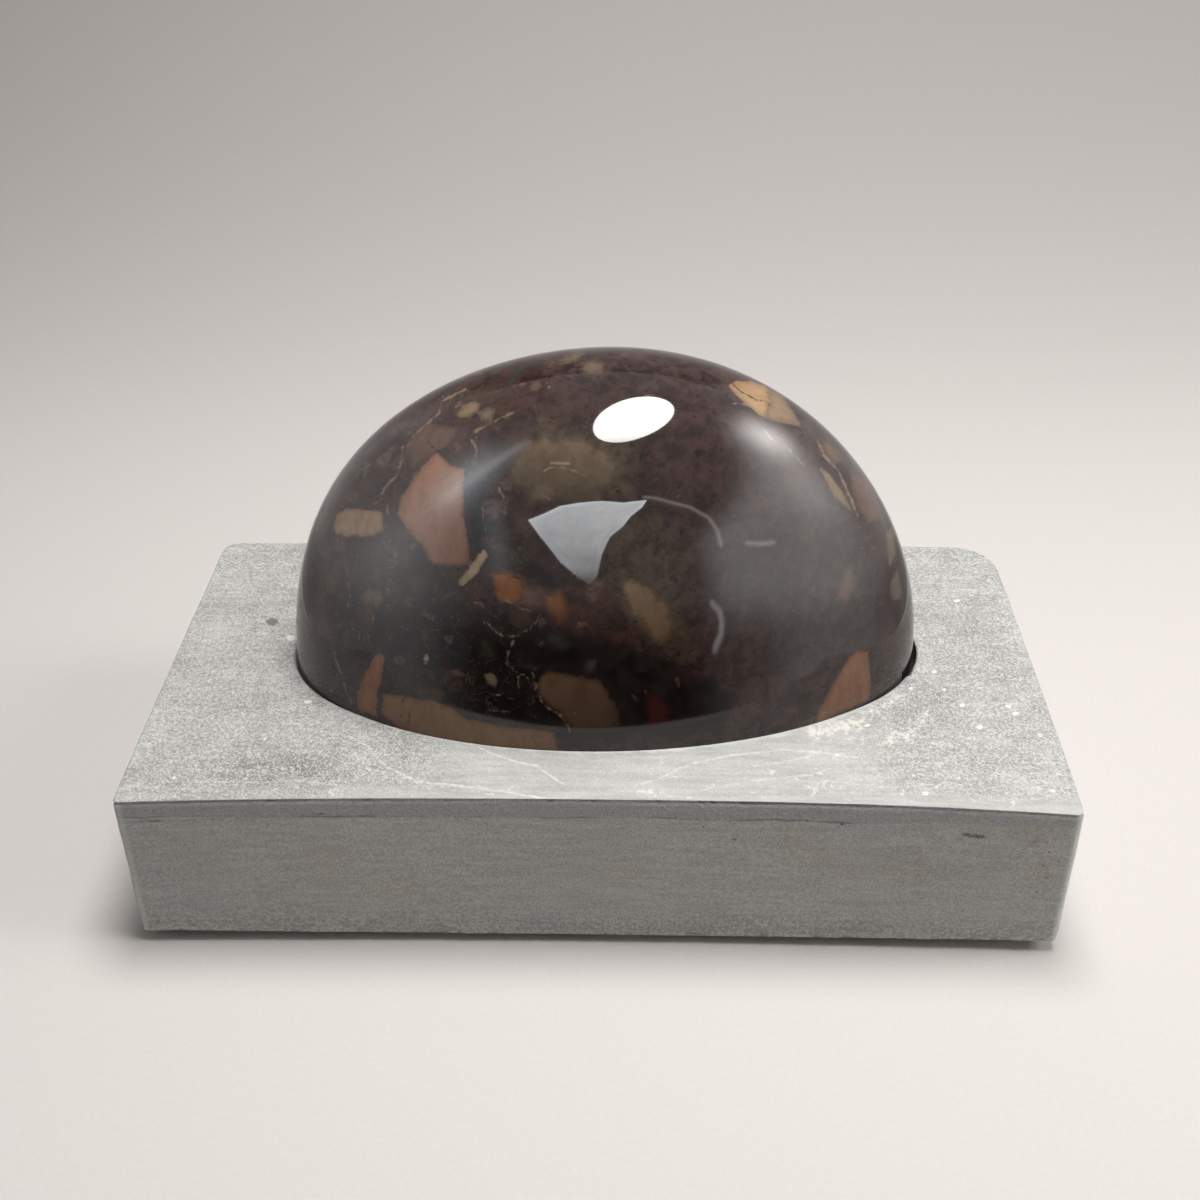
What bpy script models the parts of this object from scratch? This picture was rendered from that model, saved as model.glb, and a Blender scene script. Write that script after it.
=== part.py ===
"""A puddingstone: a polished dome of pebbly conglomerate seated in the socket of a cast cement block.

Metres, +Z up, +X along the block's length, -Y towards the face that shows. The origin is the middle of the
block on the surface that it rests on.
"""

import math

import bpy
import numpy as np

BLOCK_LENGTH = 0.200
BLOCK_DEPTH = 0.103
BLOCK_HEIGHT = 0.0412
FRONT_LEFT_RADIUS = 0.0025
FRONT_RIGHT_RADIUS = 0.0030
BACK_RIGHT_RADIUS = 0.0110
BACK_LEFT_RADIUS = 0.0040
FRONT_BOW = 0.0013
TOP_DROP_LEFT = 0.0010
TOP_DROP_RIGHT = 0.0020
TOP_EDGE_WEAR = 0.0014
FOOT_EDGE_WEAR = 0.0004
FOOT_LIFT_MIDDLE = 0.0022
FOOT_LIFT_ENDS = 0.0032
REST_LENGTH = 0.150
REST_DEPTH = 0.066
REST_CORNER_RADIUS = 0.012

STONE_HALF_LENGTH = 0.0720
STONE_HALF_DEPTH = 0.0395
STONE_RISE = 0.0734
STONE_SHIFT_X = -0.0005
STONE_SHIFT_Y = 0.0050
STONE_TURN = math.radians(1.3)
SIDE_LEAN = 0.37
TOP_ROUNDING = 0.46
SHOULDER_FULLNESS = 0.044
RIGHT_LEAN = 0.010
RIGHT_FULLNESS = 0.013
POLISH_WAVE = 0.0046
POLISH_WAVE_COUNT = 5
POLISH_WAVE_PEAK = math.radians(68)

SEAT_DEPTH = 0.014
SEAT_EDGE_RADIUS = 0.008
SOCKET_GAP = 0.0003
SOCKET_LIP_WEAR = 0.0005

STONE_SIDES = 80
STONE_RINGS = 22
SEAT_ARC_STEPS = 3
LONG_SIDE_STEPS = 30
SHORT_SIDE_STEPS = 14
CORNER_STEPS = 4
EDGE_ARC_STEPS = 3
TOP_RING_SHARES = (0.35, 0.75)

STONE_COLOR = (0.075, 0.040, 0.038)
CEMENT_COLOR = (0.46, 0.45, 0.44)


def clear_scene():
    for obj in list(bpy.data.objects):
        bpy.data.objects.remove(obj, do_unlink=True)


def principled(name, color, roughness):
    material = bpy.data.materials.new(name)
    material.use_nodes = True
    shader = material.node_tree.nodes["Principled BSDF"]
    shader.inputs["Base Color"].default_value = (*color, 1.0)
    shader.inputs["Roughness"].default_value = roughness
    return material


def closed_loft(name, rings, bottom, top, material):
    """A body from rings of equally many points, from the lowest to the highest, closed by a point at each end."""
    count = len(rings[0])
    points = [tuple(point) for ring in rings for point in ring]
    low_pole = len(points)
    high_pole = low_pole + 1
    points += [tuple(bottom), tuple(top)]
    faces = []
    for i in range(count):
        j = (i + 1) % count
        faces.append((low_pole, j, i))
        last = (len(rings) - 1) * count
        faces.append((high_pole, last + i, last + j))
        for level in range(len(rings) - 1):
            low = level * count
            high = low + count
            faces.append((low + i, low + j, high + j, high + i))
    mesh = bpy.data.meshes.new(name)
    mesh.from_pydata(points, [], faces)
    mesh.materials.append(material)
    mesh.update()
    obj = bpy.data.objects.new(name, mesh)
    bpy.context.scene.collection.objects.link(obj)
    return obj


def swelling(x, y, z):
    """How far the dome stands out of a plain ellipsoid in one direction, as a factor near 1.

    It makes the right shoulder fuller than the left, and adds the slow waves of a surface polished by hand.
    """
    around = np.arctan2(z, x)
    wave = np.cos(POLISH_WAVE_COUNT * (around - POLISH_WAVE_PEAK)) * (1 - y**2) ** 1.5
    return (
        1
        + RIGHT_LEAN * x * z
        + RIGHT_FULLNESS * x**3
        + SHOULDER_FULLNESS * x**2 * z**2
        + POLISH_WAVE * wave
    )


def depth_share(height):
    """How deep the dome is at a share of its rise, against a plain ellipsoid.

    The front and back lean in from the block, almost straight, and round over near the summit.
    """
    return 1 - SIDE_LEAN * height + TOP_ROUNDING * height**2


def placed_on_block(x, y, z):
    """Points of the stone, turned a little and shifted to where it sits. Their z is from the block's top."""
    turned_x = x * math.cos(STONE_TURN) - y * math.sin(STONE_TURN) + STONE_SHIFT_X
    turned_y = x * math.sin(STONE_TURN) + y * math.cos(STONE_TURN) + STONE_SHIFT_Y
    return np.stack([turned_x, turned_y, z + BLOCK_HEIGHT], axis=-1)


def dome_ring(angles, climb):
    """One level line of the dome: climb runs from 0 at the block's top to a right angle at the summit."""
    x = np.cos(angles) * math.cos(climb)
    y = np.sin(angles) * math.cos(climb)
    z = np.full_like(angles, math.sin(climb))
    size = swelling(x, y, z)
    height = z * size
    return placed_on_block(
        x * size * STONE_HALF_LENGTH,
        y * size * STONE_HALF_DEPTH * depth_share(height),
        height * STONE_RISE,
    )


def seat_ring(angles, inset, depth):
    """One level line of the stone's hidden foot, this far in from the girth and this deep in the block."""
    x = np.cos(angles)
    y = np.sin(angles)
    size = swelling(x, y, np.zeros_like(angles))
    return placed_on_block(
        x * size * (STONE_HALF_LENGTH - inset),
        y * size * (STONE_HALF_DEPTH - inset),
        np.full_like(angles, -depth),
    )


def seat_profile():
    """(inset, depth) pairs down the foot: an upright wall, then a round edge into the flat bottom."""
    profile = [(0.0, SEAT_DEPTH - SEAT_EDGE_RADIUS)]
    for step in range(1, SEAT_ARC_STEPS + 1):
        turn = math.pi / 2 * step / SEAT_ARC_STEPS
        inset = SEAT_EDGE_RADIUS * (1 - math.cos(turn))
        depth = SEAT_DEPTH - SEAT_EDGE_RADIUS * (1 - math.sin(turn))
        profile.append((inset, depth))
    return profile


def build_stone():
    angles = np.arange(STONE_SIDES) * 2 * math.pi / STONE_SIDES
    rings = [seat_ring(angles, inset, depth) for inset, depth in reversed(seat_profile())]
    for level in range(STONE_RINGS):
        rings.append(dome_ring(angles, math.pi / 2 * level / STONE_RINGS))
    bottom = placed_on_block(0.0, 0.0, -SEAT_DEPTH)
    summit = STONE_RISE * swelling(0.0, 0.0, 1.0)
    top = placed_on_block(0.0, 0.0, summit)
    return closed_loft("stone", rings, bottom, top, principled("polished_stone", STONE_COLOR, 0.06))


def block_outline(inset):
    """Points round the block seen from above, anticlockwise from its front right corner, this far in."""
    half_x = BLOCK_LENGTH / 2
    half_y = BLOCK_DEPTH / 2
    corners = (
        (half_x, -half_y, FRONT_RIGHT_RADIUS, -90, SHORT_SIDE_STEPS),
        (half_x, half_y, BACK_RIGHT_RADIUS, 0, LONG_SIDE_STEPS),
        (-half_x, half_y, BACK_LEFT_RADIUS, 90, SHORT_SIDE_STEPS),
        (-half_x, -half_y, FRONT_LEFT_RADIUS, 180, LONG_SIDE_STEPS),
    )
    arcs = []
    for corner_x, corner_y, radius, start, side_steps in corners:
        middle_x = corner_x - math.copysign(radius, corner_x)
        middle_y = corner_y - math.copysign(radius, corner_y)
        turns = np.radians(start + 90 * np.arange(CORNER_STEPS + 1) / CORNER_STEPS)
        reach = max(radius - inset, 0.0)
        square_in = max(inset - radius, 0.0)
        x = middle_x + reach * np.cos(turns) - math.copysign(square_in, corner_x)
        y = middle_y + reach * np.sin(turns) - math.copysign(square_in, corner_y)
        arcs.append((x, y, side_steps))
    xs = []
    ys = []
    for index, (x, y, side_steps) in enumerate(arcs):
        next_x, next_y, _ = arcs[(index + 1) % len(arcs)]
        share = np.arange(1, side_steps) / side_steps
        xs += [x, x[-1] + share * (next_x[0] - x[-1])]
        ys += [y, y[-1] + share * (next_y[0] - y[-1])]
    x = np.concatenate(xs)
    y = np.concatenate(ys)
    bow = FRONT_BOW * (1 - np.clip(x / half_x, -1, 1) ** 2) * np.clip(-y / half_y, 0, 1) ** 2
    return x, y + bow


def rest_outline(x, y):
    """The flat patch underneath that carries the block, with a point for each point of the block's outline."""
    across = x * REST_LENGTH / BLOCK_LENGTH
    along = y * REST_DEPTH / BLOCK_DEPTH
    past_x = np.clip(np.abs(across) - (REST_LENGTH / 2 - REST_CORNER_RADIUS), 0, None)
    past_y = np.clip(np.abs(along) - (REST_DEPTH / 2 - REST_CORNER_RADIUS), 0, None)
    past = np.hypot(past_x, past_y)
    keep = np.where(past > REST_CORNER_RADIUS, REST_CORNER_RADIUS / np.maximum(past, 1e-9), 1.0)
    across -= np.sign(across) * past_x * (1 - keep)
    along -= np.sign(along) * past_y * (1 - keep)
    return across, along


def top_height(x, y):
    """The block's top: level under the stone, lower towards the two front corners."""
    sideways = x / (BLOCK_LENGTH / 2)
    forwards = np.clip(0.5 - y / BLOCK_DEPTH, 0, 1)
    drop = np.where(x < 0, TOP_DROP_LEFT, TOP_DROP_RIGHT)
    return BLOCK_HEIGHT - drop * np.abs(sideways) ** 3 * forwards**2


def foot_height(x):
    """How far the lower edge stands above the surface under the block."""
    return FOOT_LIFT_MIDDLE + (FOOT_LIFT_ENDS - FOOT_LIFT_MIDDLE) * (x / (BLOCK_LENGTH / 2)) ** 2


def quarter_steps():
    return [math.pi / 2 * step / EDGE_ARC_STEPS for step in range(EDGE_ARC_STEPS + 1)]


def block_rings():
    """The block's level lines, from the flat patch underneath, round the outside, and down into the socket."""
    face_x, face_y = block_outline(0.0)
    rest_x, rest_y = rest_outline(face_x, face_y)
    rings = [np.stack([rest_x, rest_y, np.zeros_like(rest_x)], axis=-1)]
    for turn in quarter_steps():
        x, y = block_outline(FOOT_EDGE_WEAR * (1 - math.sin(turn)))
        z = foot_height(x) + FOOT_EDGE_WEAR * (1 - math.cos(turn))
        rings.append(np.stack([x, y, z], axis=-1))
    for turn in quarter_steps():
        x, y = block_outline(TOP_EDGE_WEAR * (1 - math.cos(turn)))
        z = top_height(x, y) - TOP_EDGE_WEAR * (1 - math.sin(turn))
        rings.append(np.stack([x, y, z], axis=-1))
    angles = np.arctan2(
        (face_y - STONE_SHIFT_Y) / STONE_HALF_DEPTH,
        (face_x - STONE_SHIFT_X) / STONE_HALF_LENGTH,
    ) - STONE_TURN
    lip = seat_ring(angles, -SOCKET_GAP - SOCKET_LIP_WEAR, 0.0)
    edge = rings[-1]
    for share in TOP_RING_SHARES:
        x = edge[:, 0] + share * (lip[:, 0] - edge[:, 0])
        y = edge[:, 1] + share * (lip[:, 1] - edge[:, 1])
        rings.append(np.stack([x, y, top_height(x, y)], axis=-1))
    lip[:, 2] = top_height(lip[:, 0], lip[:, 1])
    rings.append(lip)
    rings.append(seat_ring(angles, -SOCKET_GAP, SOCKET_LIP_WEAR))
    for inset, depth in seat_profile():
        rings.append(seat_ring(angles, inset - SOCKET_GAP, depth + SOCKET_GAP))
    return rings


def build_block():
    socket_middle = placed_on_block(0.0, 0.0, -SEAT_DEPTH - SOCKET_GAP)
    return closed_loft(
        "cement_block",
        block_rings(),
        (0.0, 0.0, 0.0),
        socket_middle,
        principled("cast_cement", CEMENT_COLOR, 0.85),
    )


clear_scene()
build_stone()
build_block()
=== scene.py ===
import math

import bpy
import numpy as np
from mathutils import Matrix, Vector


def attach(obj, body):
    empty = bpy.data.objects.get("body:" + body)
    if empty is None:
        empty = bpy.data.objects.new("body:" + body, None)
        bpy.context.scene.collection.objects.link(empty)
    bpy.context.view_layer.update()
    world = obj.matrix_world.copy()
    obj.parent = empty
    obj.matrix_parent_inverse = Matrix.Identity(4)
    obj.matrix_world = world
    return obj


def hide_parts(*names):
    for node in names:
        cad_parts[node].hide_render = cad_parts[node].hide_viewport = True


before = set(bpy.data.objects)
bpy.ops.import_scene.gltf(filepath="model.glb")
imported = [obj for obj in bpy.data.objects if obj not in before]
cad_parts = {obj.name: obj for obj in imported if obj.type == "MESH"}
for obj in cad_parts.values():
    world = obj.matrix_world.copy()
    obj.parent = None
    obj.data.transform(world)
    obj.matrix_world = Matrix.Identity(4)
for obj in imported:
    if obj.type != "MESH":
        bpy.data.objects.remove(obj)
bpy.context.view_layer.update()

# The camera: where the photographer stood, and how the frame's points fall on the 1200 x 1200 picture.
FRAME_SIZE = 1200
FOCAL_PIXELS = 1487.5
CAMERA_PLACE = (0.00759, -0.28248, 0.24164)
CAMERA_YAW = math.radians(-1.572)
CAMERA_PITCH = math.radians(33.132)
CAMERA_ROLL = math.radians(0.475)

# The block, in metres.
BLOCK_LENGTH = 0.200
BLOCK_DEPTH = 0.103
BLOCK_HEIGHT = 0.0412
CORNER_RADII = (0.0020, 0.0110, 0.0040, 0.0014)
FRONT_BOW = 0.0013
TOP_DROP_LEFT = 0.0010
TOP_DROP_RIGHT = 0.0020
TOP_EDGE_WEAR = 0.0006
FOOT_EDGE_WEAR = 0.0004
FOOT_LIFT_MIDDLE = 0.0022
FOOT_LIFT_ENDS = 0.0032
REST_LENGTH = 0.150
REST_DEPTH = 0.066
REST_CORNER_RADIUS = 0.012

# The stone.
STONE_HALF_LENGTH = 0.0720
STONE_HALF_DEPTH = 0.0395
STONE_RISE = 0.0734
STONE_SHIFT_X = -0.0005
STONE_SHIFT_Y = 0.0050
STONE_TURN = math.radians(1.3)
SIDE_LEAN = 0.37
TOP_ROUNDING = 0.46
SHOULDER_FULLNESS = 0.044
RIGHT_LEAN = 0.010
RIGHT_FULLNESS = 0.013
POLISH_WAVE = 0.0046
POLISH_WAVE_COUNT = 5
POLISH_WAVE_PEAK = math.radians(68)
SEAT_DEPTH = 0.014
SEAT_EDGE_RADIUS = 0.008
SOCKET_GAP = 0.0003
SOCKET_LIP_WEAR = 0.0005
END_GAP = 0.0005

# The stone's mesh: its triangles' size, the way up from rim to summit, and the hidden seat's coarser rings.
STONE_STEP = 0.00054
DOME_CLIMB = 0.098
SUMMIT_COUNT = 8
SEAT_COUNT = 220
SEAT_EDGE_STEPS = 4
SEAT_COLLAR = 0.0014


# Camera and the picture's pixels.

def camera_axes():
    forward = np.array([
        math.sin(CAMERA_YAW) * math.cos(CAMERA_PITCH),
        math.cos(CAMERA_YAW) * math.cos(CAMERA_PITCH),
        -math.sin(CAMERA_PITCH),
    ])
    level = np.array([math.cos(CAMERA_YAW), -math.sin(CAMERA_YAW), 0.0])
    down = np.cross(forward, level)
    right = math.cos(CAMERA_ROLL) * level + math.sin(CAMERA_ROLL) * down
    down = -math.sin(CAMERA_ROLL) * level + math.cos(CAMERA_ROLL) * down
    return right, down, forward


def picture_place(points):
    """Where points of the frame fall in the photograph, in its pixels."""
    right, down, forward = camera_axes()
    seen = points - np.array(CAMERA_PLACE)
    far = np.maximum(seen @ forward, 1e-4)
    middle = FRAME_SIZE / 2
    return np.stack([
        middle + FOCAL_PIXELS * (seen @ right) / far,
        middle + FOCAL_PIXELS * (seen @ down) / far,
    ], axis=-1)


def make_camera():
    right, down, forward = camera_axes()
    data = bpy.data.cameras.new("camera")
    data.sensor_width = 36.0
    data.lens = FOCAL_PIXELS * data.sensor_width / FRAME_SIZE
    data.clip_start = 0.01
    data.clip_end = 20.0
    camera = bpy.data.objects.new("camera", data)
    turn = Matrix((
        (right[0], -down[0], -forward[0]),
        (right[1], -down[1], -forward[1]),
        (right[2], -down[2], -forward[2]),
    ))
    camera.matrix_world = Matrix.Translation(CAMERA_PLACE) @ turn.to_4x4()
    bpy.context.scene.collection.objects.link(camera)
    bpy.context.scene.camera = camera


# Numbers for chance and noise.

LATTICE_FACTORS = (374761393, 668265263, 2147483647)
SEED_FACTOR = 1274126177
STIR_FACTOR = 2246822519
WORD = 0xFFFFFFFF
SHORT_WORD = 0xFFFFFF


def lattice_value(ix, iy, iz, seed):
    """A fixed number from 0 to 1 for each point of a whole-number lattice."""
    by_x, by_y, by_z = LATTICE_FACTORS
    h = (ix * by_x + iy * by_y + iz * by_z + seed * SEED_FACTOR) & WORD
    h = ((h ^ (h >> 13)) * SEED_FACTOR) & WORD
    h = ((h ^ (h >> 16)) * STIR_FACTOR) & WORD
    return ((h ^ (h >> 13)) & SHORT_WORD) / SHORT_WORD


def noise(points, size, seed, octaves=1, roughness=0.5):
    """Smooth noise from -1 to 1 at points, with lumps about this size."""
    total = np.zeros(len(points))
    weight_sum = 0.0
    weight = 1.0
    for octave in range(octaves):
        p = points / size * 2**octave
        cell = np.floor(p).astype(np.int64)
        f = p - cell
        f = f * f * f * (f * (f * 6 - 15) + 10)
        value = np.zeros(len(points))
        for dx in (0, 1):
            for dy in (0, 1):
                for dz in (0, 1):
                    share = (
                        np.where(dx, f[:, 0], 1 - f[:, 0])
                        * np.where(dy, f[:, 1], 1 - f[:, 1])
                        * np.where(dz, f[:, 2], 1 - f[:, 2])
                    )
                    value += share * lattice_value(
                        cell[:, 0] + dx, cell[:, 1] + dy, cell[:, 2] + dz, seed + 17 * octave)
        total += weight * (2 * value - 1)
        weight_sum += weight
        weight *= roughness
    return total / weight_sum


def smooth_step(low, high, value):
    t = np.clip((value - low) / (high - low), 0, 1)
    return t * t * (3 - 2 * t)


# Distances in the picture.

def stretch_gap(places, a, b):
    """Each place's distance from the straight stretch between two points."""
    run = b - a
    along = np.clip(((places - a) @ run) / max(run @ run, 1e-9), 0, 1)
    gap = places - a - along[:, None] * run
    return np.hypot(gap[:, 0], gap[:, 1])


def outline_depth(places, outline):
    """How far inside a closed outline each place is, in pixels; negative outside it."""
    corners = np.array(outline, float)
    nearest = np.full(len(places), 1e9)
    inside = np.zeros(len(places), bool)
    for a, b in zip(corners, np.roll(corners, -1, axis=0)):
        nearest = np.minimum(nearest, stretch_gap(places, a, b))
        crosses = (a[1] > places[:, 1]) != (b[1] > places[:, 1])
        slope = (b[0] - a[0]) / (b[1] - a[1] if abs(b[1] - a[1]) > 1e-9 else 1e-9)
        inside ^= crosses & (places[:, 0] < a[0] + slope * (places[:, 1] - a[1]))
    return np.where(inside, nearest, -nearest)


def line_depth(places, line):
    """How near each place is to an open line, as a negative distance."""
    points = np.array(line, float)
    nearest = np.full(len(places), 1e9)
    for a, b in zip(points[:-1], points[1:]):
        nearest = np.minimum(nearest, stretch_gap(places, a, b))
    return -nearest


# Meshes.

def mesh_object(name, points, faces, material):
    mesh = bpy.data.meshes.new(name)
    faces = np.asarray(faces, np.int32)
    mesh.vertices.add(len(points))
    mesh.vertices.foreach_set("co", np.asarray(points, np.float32).ravel())
    mesh.loops.add(faces.size)
    mesh.loops.foreach_set("vertex_index", faces.ravel())
    mesh.polygons.add(len(faces))
    mesh.polygons.foreach_set("loop_start", np.arange(len(faces), dtype=np.int32) * 3)
    mesh.polygons.foreach_set("use_smooth", np.ones(len(faces), bool))
    mesh.update(calc_edges=True)
    mesh.validate()
    mesh.materials.append(material)
    obj = bpy.data.objects.new(name, mesh)
    bpy.context.scene.collection.objects.link(obj)
    return obj


def vertex_normals(points, faces):
    normals = np.zeros_like(points)
    across = np.cross(
        points[faces[:, 1]] - points[faces[:, 0]],
        points[faces[:, 2]] - points[faces[:, 0]],
    )
    for corner in range(3):
        np.add.at(normals, faces[:, corner], across)
    return normals / np.maximum(np.linalg.norm(normals, axis=1, keepdims=True), 1e-12)


def zipped(low_start, low_count, high_start, high_count):
    """Triangles between two level rings of different counts, the low ring first."""
    i = np.arange(low_count)
    over = np.ceil((i + 1) * high_count / low_count).astype(np.int64) - 1
    first = np.stack([
        low_start + i, low_start + (i + 1) % low_count, high_start + over % high_count,
    ], axis=-1)
    j = np.arange(high_count)
    under = np.floor((j + 1) * low_count / high_count).astype(np.int64)
    second = np.stack([
        low_start + under % low_count, high_start + (j + 1) % high_count, high_start + j,
    ], axis=-1)
    return np.concatenate([first, second])


def ring_body(rings, bottom, top):
    """Points and triangles of a closed body, from rings of any counts, lowest first, and its two poles."""
    points = np.concatenate(rings + [np.array([bottom]), np.array([top])])
    starts = np.cumsum([0] + [len(ring) for ring in rings])
    low_pole = starts[-1]
    high_pole = low_pole + 1
    faces = []
    for level in range(len(rings) - 1):
        faces.append(zipped(starts[level], len(rings[level]), starts[level + 1], len(rings[level + 1])))
    i = np.arange(len(rings[0]))
    after = (i + 1) % len(i)
    faces.append(np.stack([np.full_like(i, low_pole), after, i], axis=-1))
    i = starts[-2] + np.arange(len(rings[-1]))
    after = np.roll(i, -1)
    faces.append(np.stack([np.full_like(i, high_pole), i, after], axis=-1))
    return points, np.concatenate(faces)


def set_numbers(obj, name, values):
    data = obj.data.attributes.new(name, "FLOAT", "POINT")
    data.data.foreach_set("value", np.asarray(values, np.float32))


def set_colors(obj, name, values):
    data = obj.data.attributes.new(name, "FLOAT_COLOR", "POINT")
    rgba = np.concatenate([values, np.ones((len(values), 1))], axis=1)
    data.data.foreach_set("color", rgba.astype(np.float32).ravel())


# The stone's form.

def swelling(x, y, z):
    around = np.arctan2(z, x)
    wave = np.cos(POLISH_WAVE_COUNT * (around - POLISH_WAVE_PEAK)) * (1 - y**2) ** 1.5
    return (
        1
        + RIGHT_LEAN * x * z
        + RIGHT_FULLNESS * x**3
        + SHOULDER_FULLNESS * x**2 * z**2
        + POLISH_WAVE * wave
    )


def placed_on_block(x, y, z):
    turned_x = x * math.cos(STONE_TURN) - y * math.sin(STONE_TURN) + STONE_SHIFT_X
    turned_y = x * math.sin(STONE_TURN) + y * math.cos(STONE_TURN) + STONE_SHIFT_Y
    return np.stack([turned_x, turned_y, z + BLOCK_HEIGHT], axis=-1)


def dome_ring(angles, climb):
    x = np.cos(angles) * math.cos(climb)
    y = np.sin(angles) * math.cos(climb)
    z = np.full_like(angles, math.sin(climb))
    size = swelling(x, y, z)
    height = z * size
    depth = STONE_HALF_DEPTH * (1 - SIDE_LEAN * height + TOP_ROUNDING * height**2)
    return placed_on_block(x * size * STONE_HALF_LENGTH, y * size * depth, height * STONE_RISE)


def seat_ring(angles, inset, depth):
    x = np.cos(angles)
    y = np.sin(angles)
    size = swelling(x, y, np.zeros_like(angles))
    return placed_on_block(
        x * size * (STONE_HALF_LENGTH - inset),
        y * size * (STONE_HALF_DEPTH - inset),
        -depth + np.zeros_like(angles),
    )


def seat_profile(steps):
    profile = [(0.0, SEAT_DEPTH - SEAT_EDGE_RADIUS)]
    for step in range(1, steps + 1):
        turn = math.pi / 2 * step / steps
        profile.append((
            SEAT_EDGE_RADIUS * (1 - math.cos(turn)),
            SEAT_DEPTH - SEAT_EDGE_RADIUS * (1 - math.sin(turn)),
        ))
    return profile


def turns(count):
    return np.arange(count) * 2 * math.pi / count


def stone_body():
    """Closed mesh of the stone: a coarse hidden seat, and a dome with triangles of one size all over."""
    girth = 2 * math.pi * math.sqrt((STONE_HALF_LENGTH**2 + STONE_HALF_DEPTH**2) / 2)
    levels = int(DOME_CLIMB / STONE_STEP)
    rings = []
    for inset, depth in reversed(seat_profile(SEAT_EDGE_STEPS)):
        rings.append(seat_ring(turns(SEAT_COUNT), inset, depth))
    rings.append(seat_ring(turns(2 * SEAT_COUNT), 0.0, SEAT_COLLAR))
    for level in range(levels):
        climb = math.pi / 2 * level / levels
        count = max(SUMMIT_COUNT, int(girth * math.cos(climb) / STONE_STEP))
        rings.append(dome_ring(turns(count), climb))
    summit = STONE_RISE * swelling(0.0, 0.0, 1.0)
    return ring_body(rings, placed_on_block(0.0, 0.0, -SEAT_DEPTH), placed_on_block(0.0, 0.0, summit))


# What the stone shows.

# Colours of the pebbles and the ground that holds them, as they reflect.
CREAM = (0.222, 0.150, 0.093)
ORANGE_PINK = (0.204, 0.103, 0.065)
PALE_ORANGE = (0.265, 0.170, 0.092)
GREEN_TAN = (0.175, 0.118, 0.073)
ORANGE = (0.170, 0.070, 0.022)
DIM_ORANGE = (0.125, 0.054, 0.020)
RUST = (0.215, 0.092, 0.046)
CLOUDY_TAN = (0.215, 0.158, 0.108)
RED_ORANGE = (0.165, 0.079, 0.044)
BROWN = (0.072, 0.041, 0.025)
WARM_BROWN = (0.150, 0.077, 0.036)
ROSE_BROWN = (0.083, 0.047, 0.035)
OLIVE = (0.088, 0.064, 0.041)
PALE_OLIVE = (0.086, 0.061, 0.041)
YELLOW_TAN = (0.116, 0.076, 0.043)
GREY_TAN = (0.105, 0.080, 0.059)
DULL_GOLD = (0.150, 0.103, 0.062)
GREY = (0.036, 0.032, 0.030)
GREY_GREEN = (0.026, 0.0235, 0.019)
DARK_RED = (0.030, 0.0065, 0.0055)
DARK_BROWN = (0.040, 0.022, 0.015)
BONE = (0.31, 0.245, 0.165)

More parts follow.
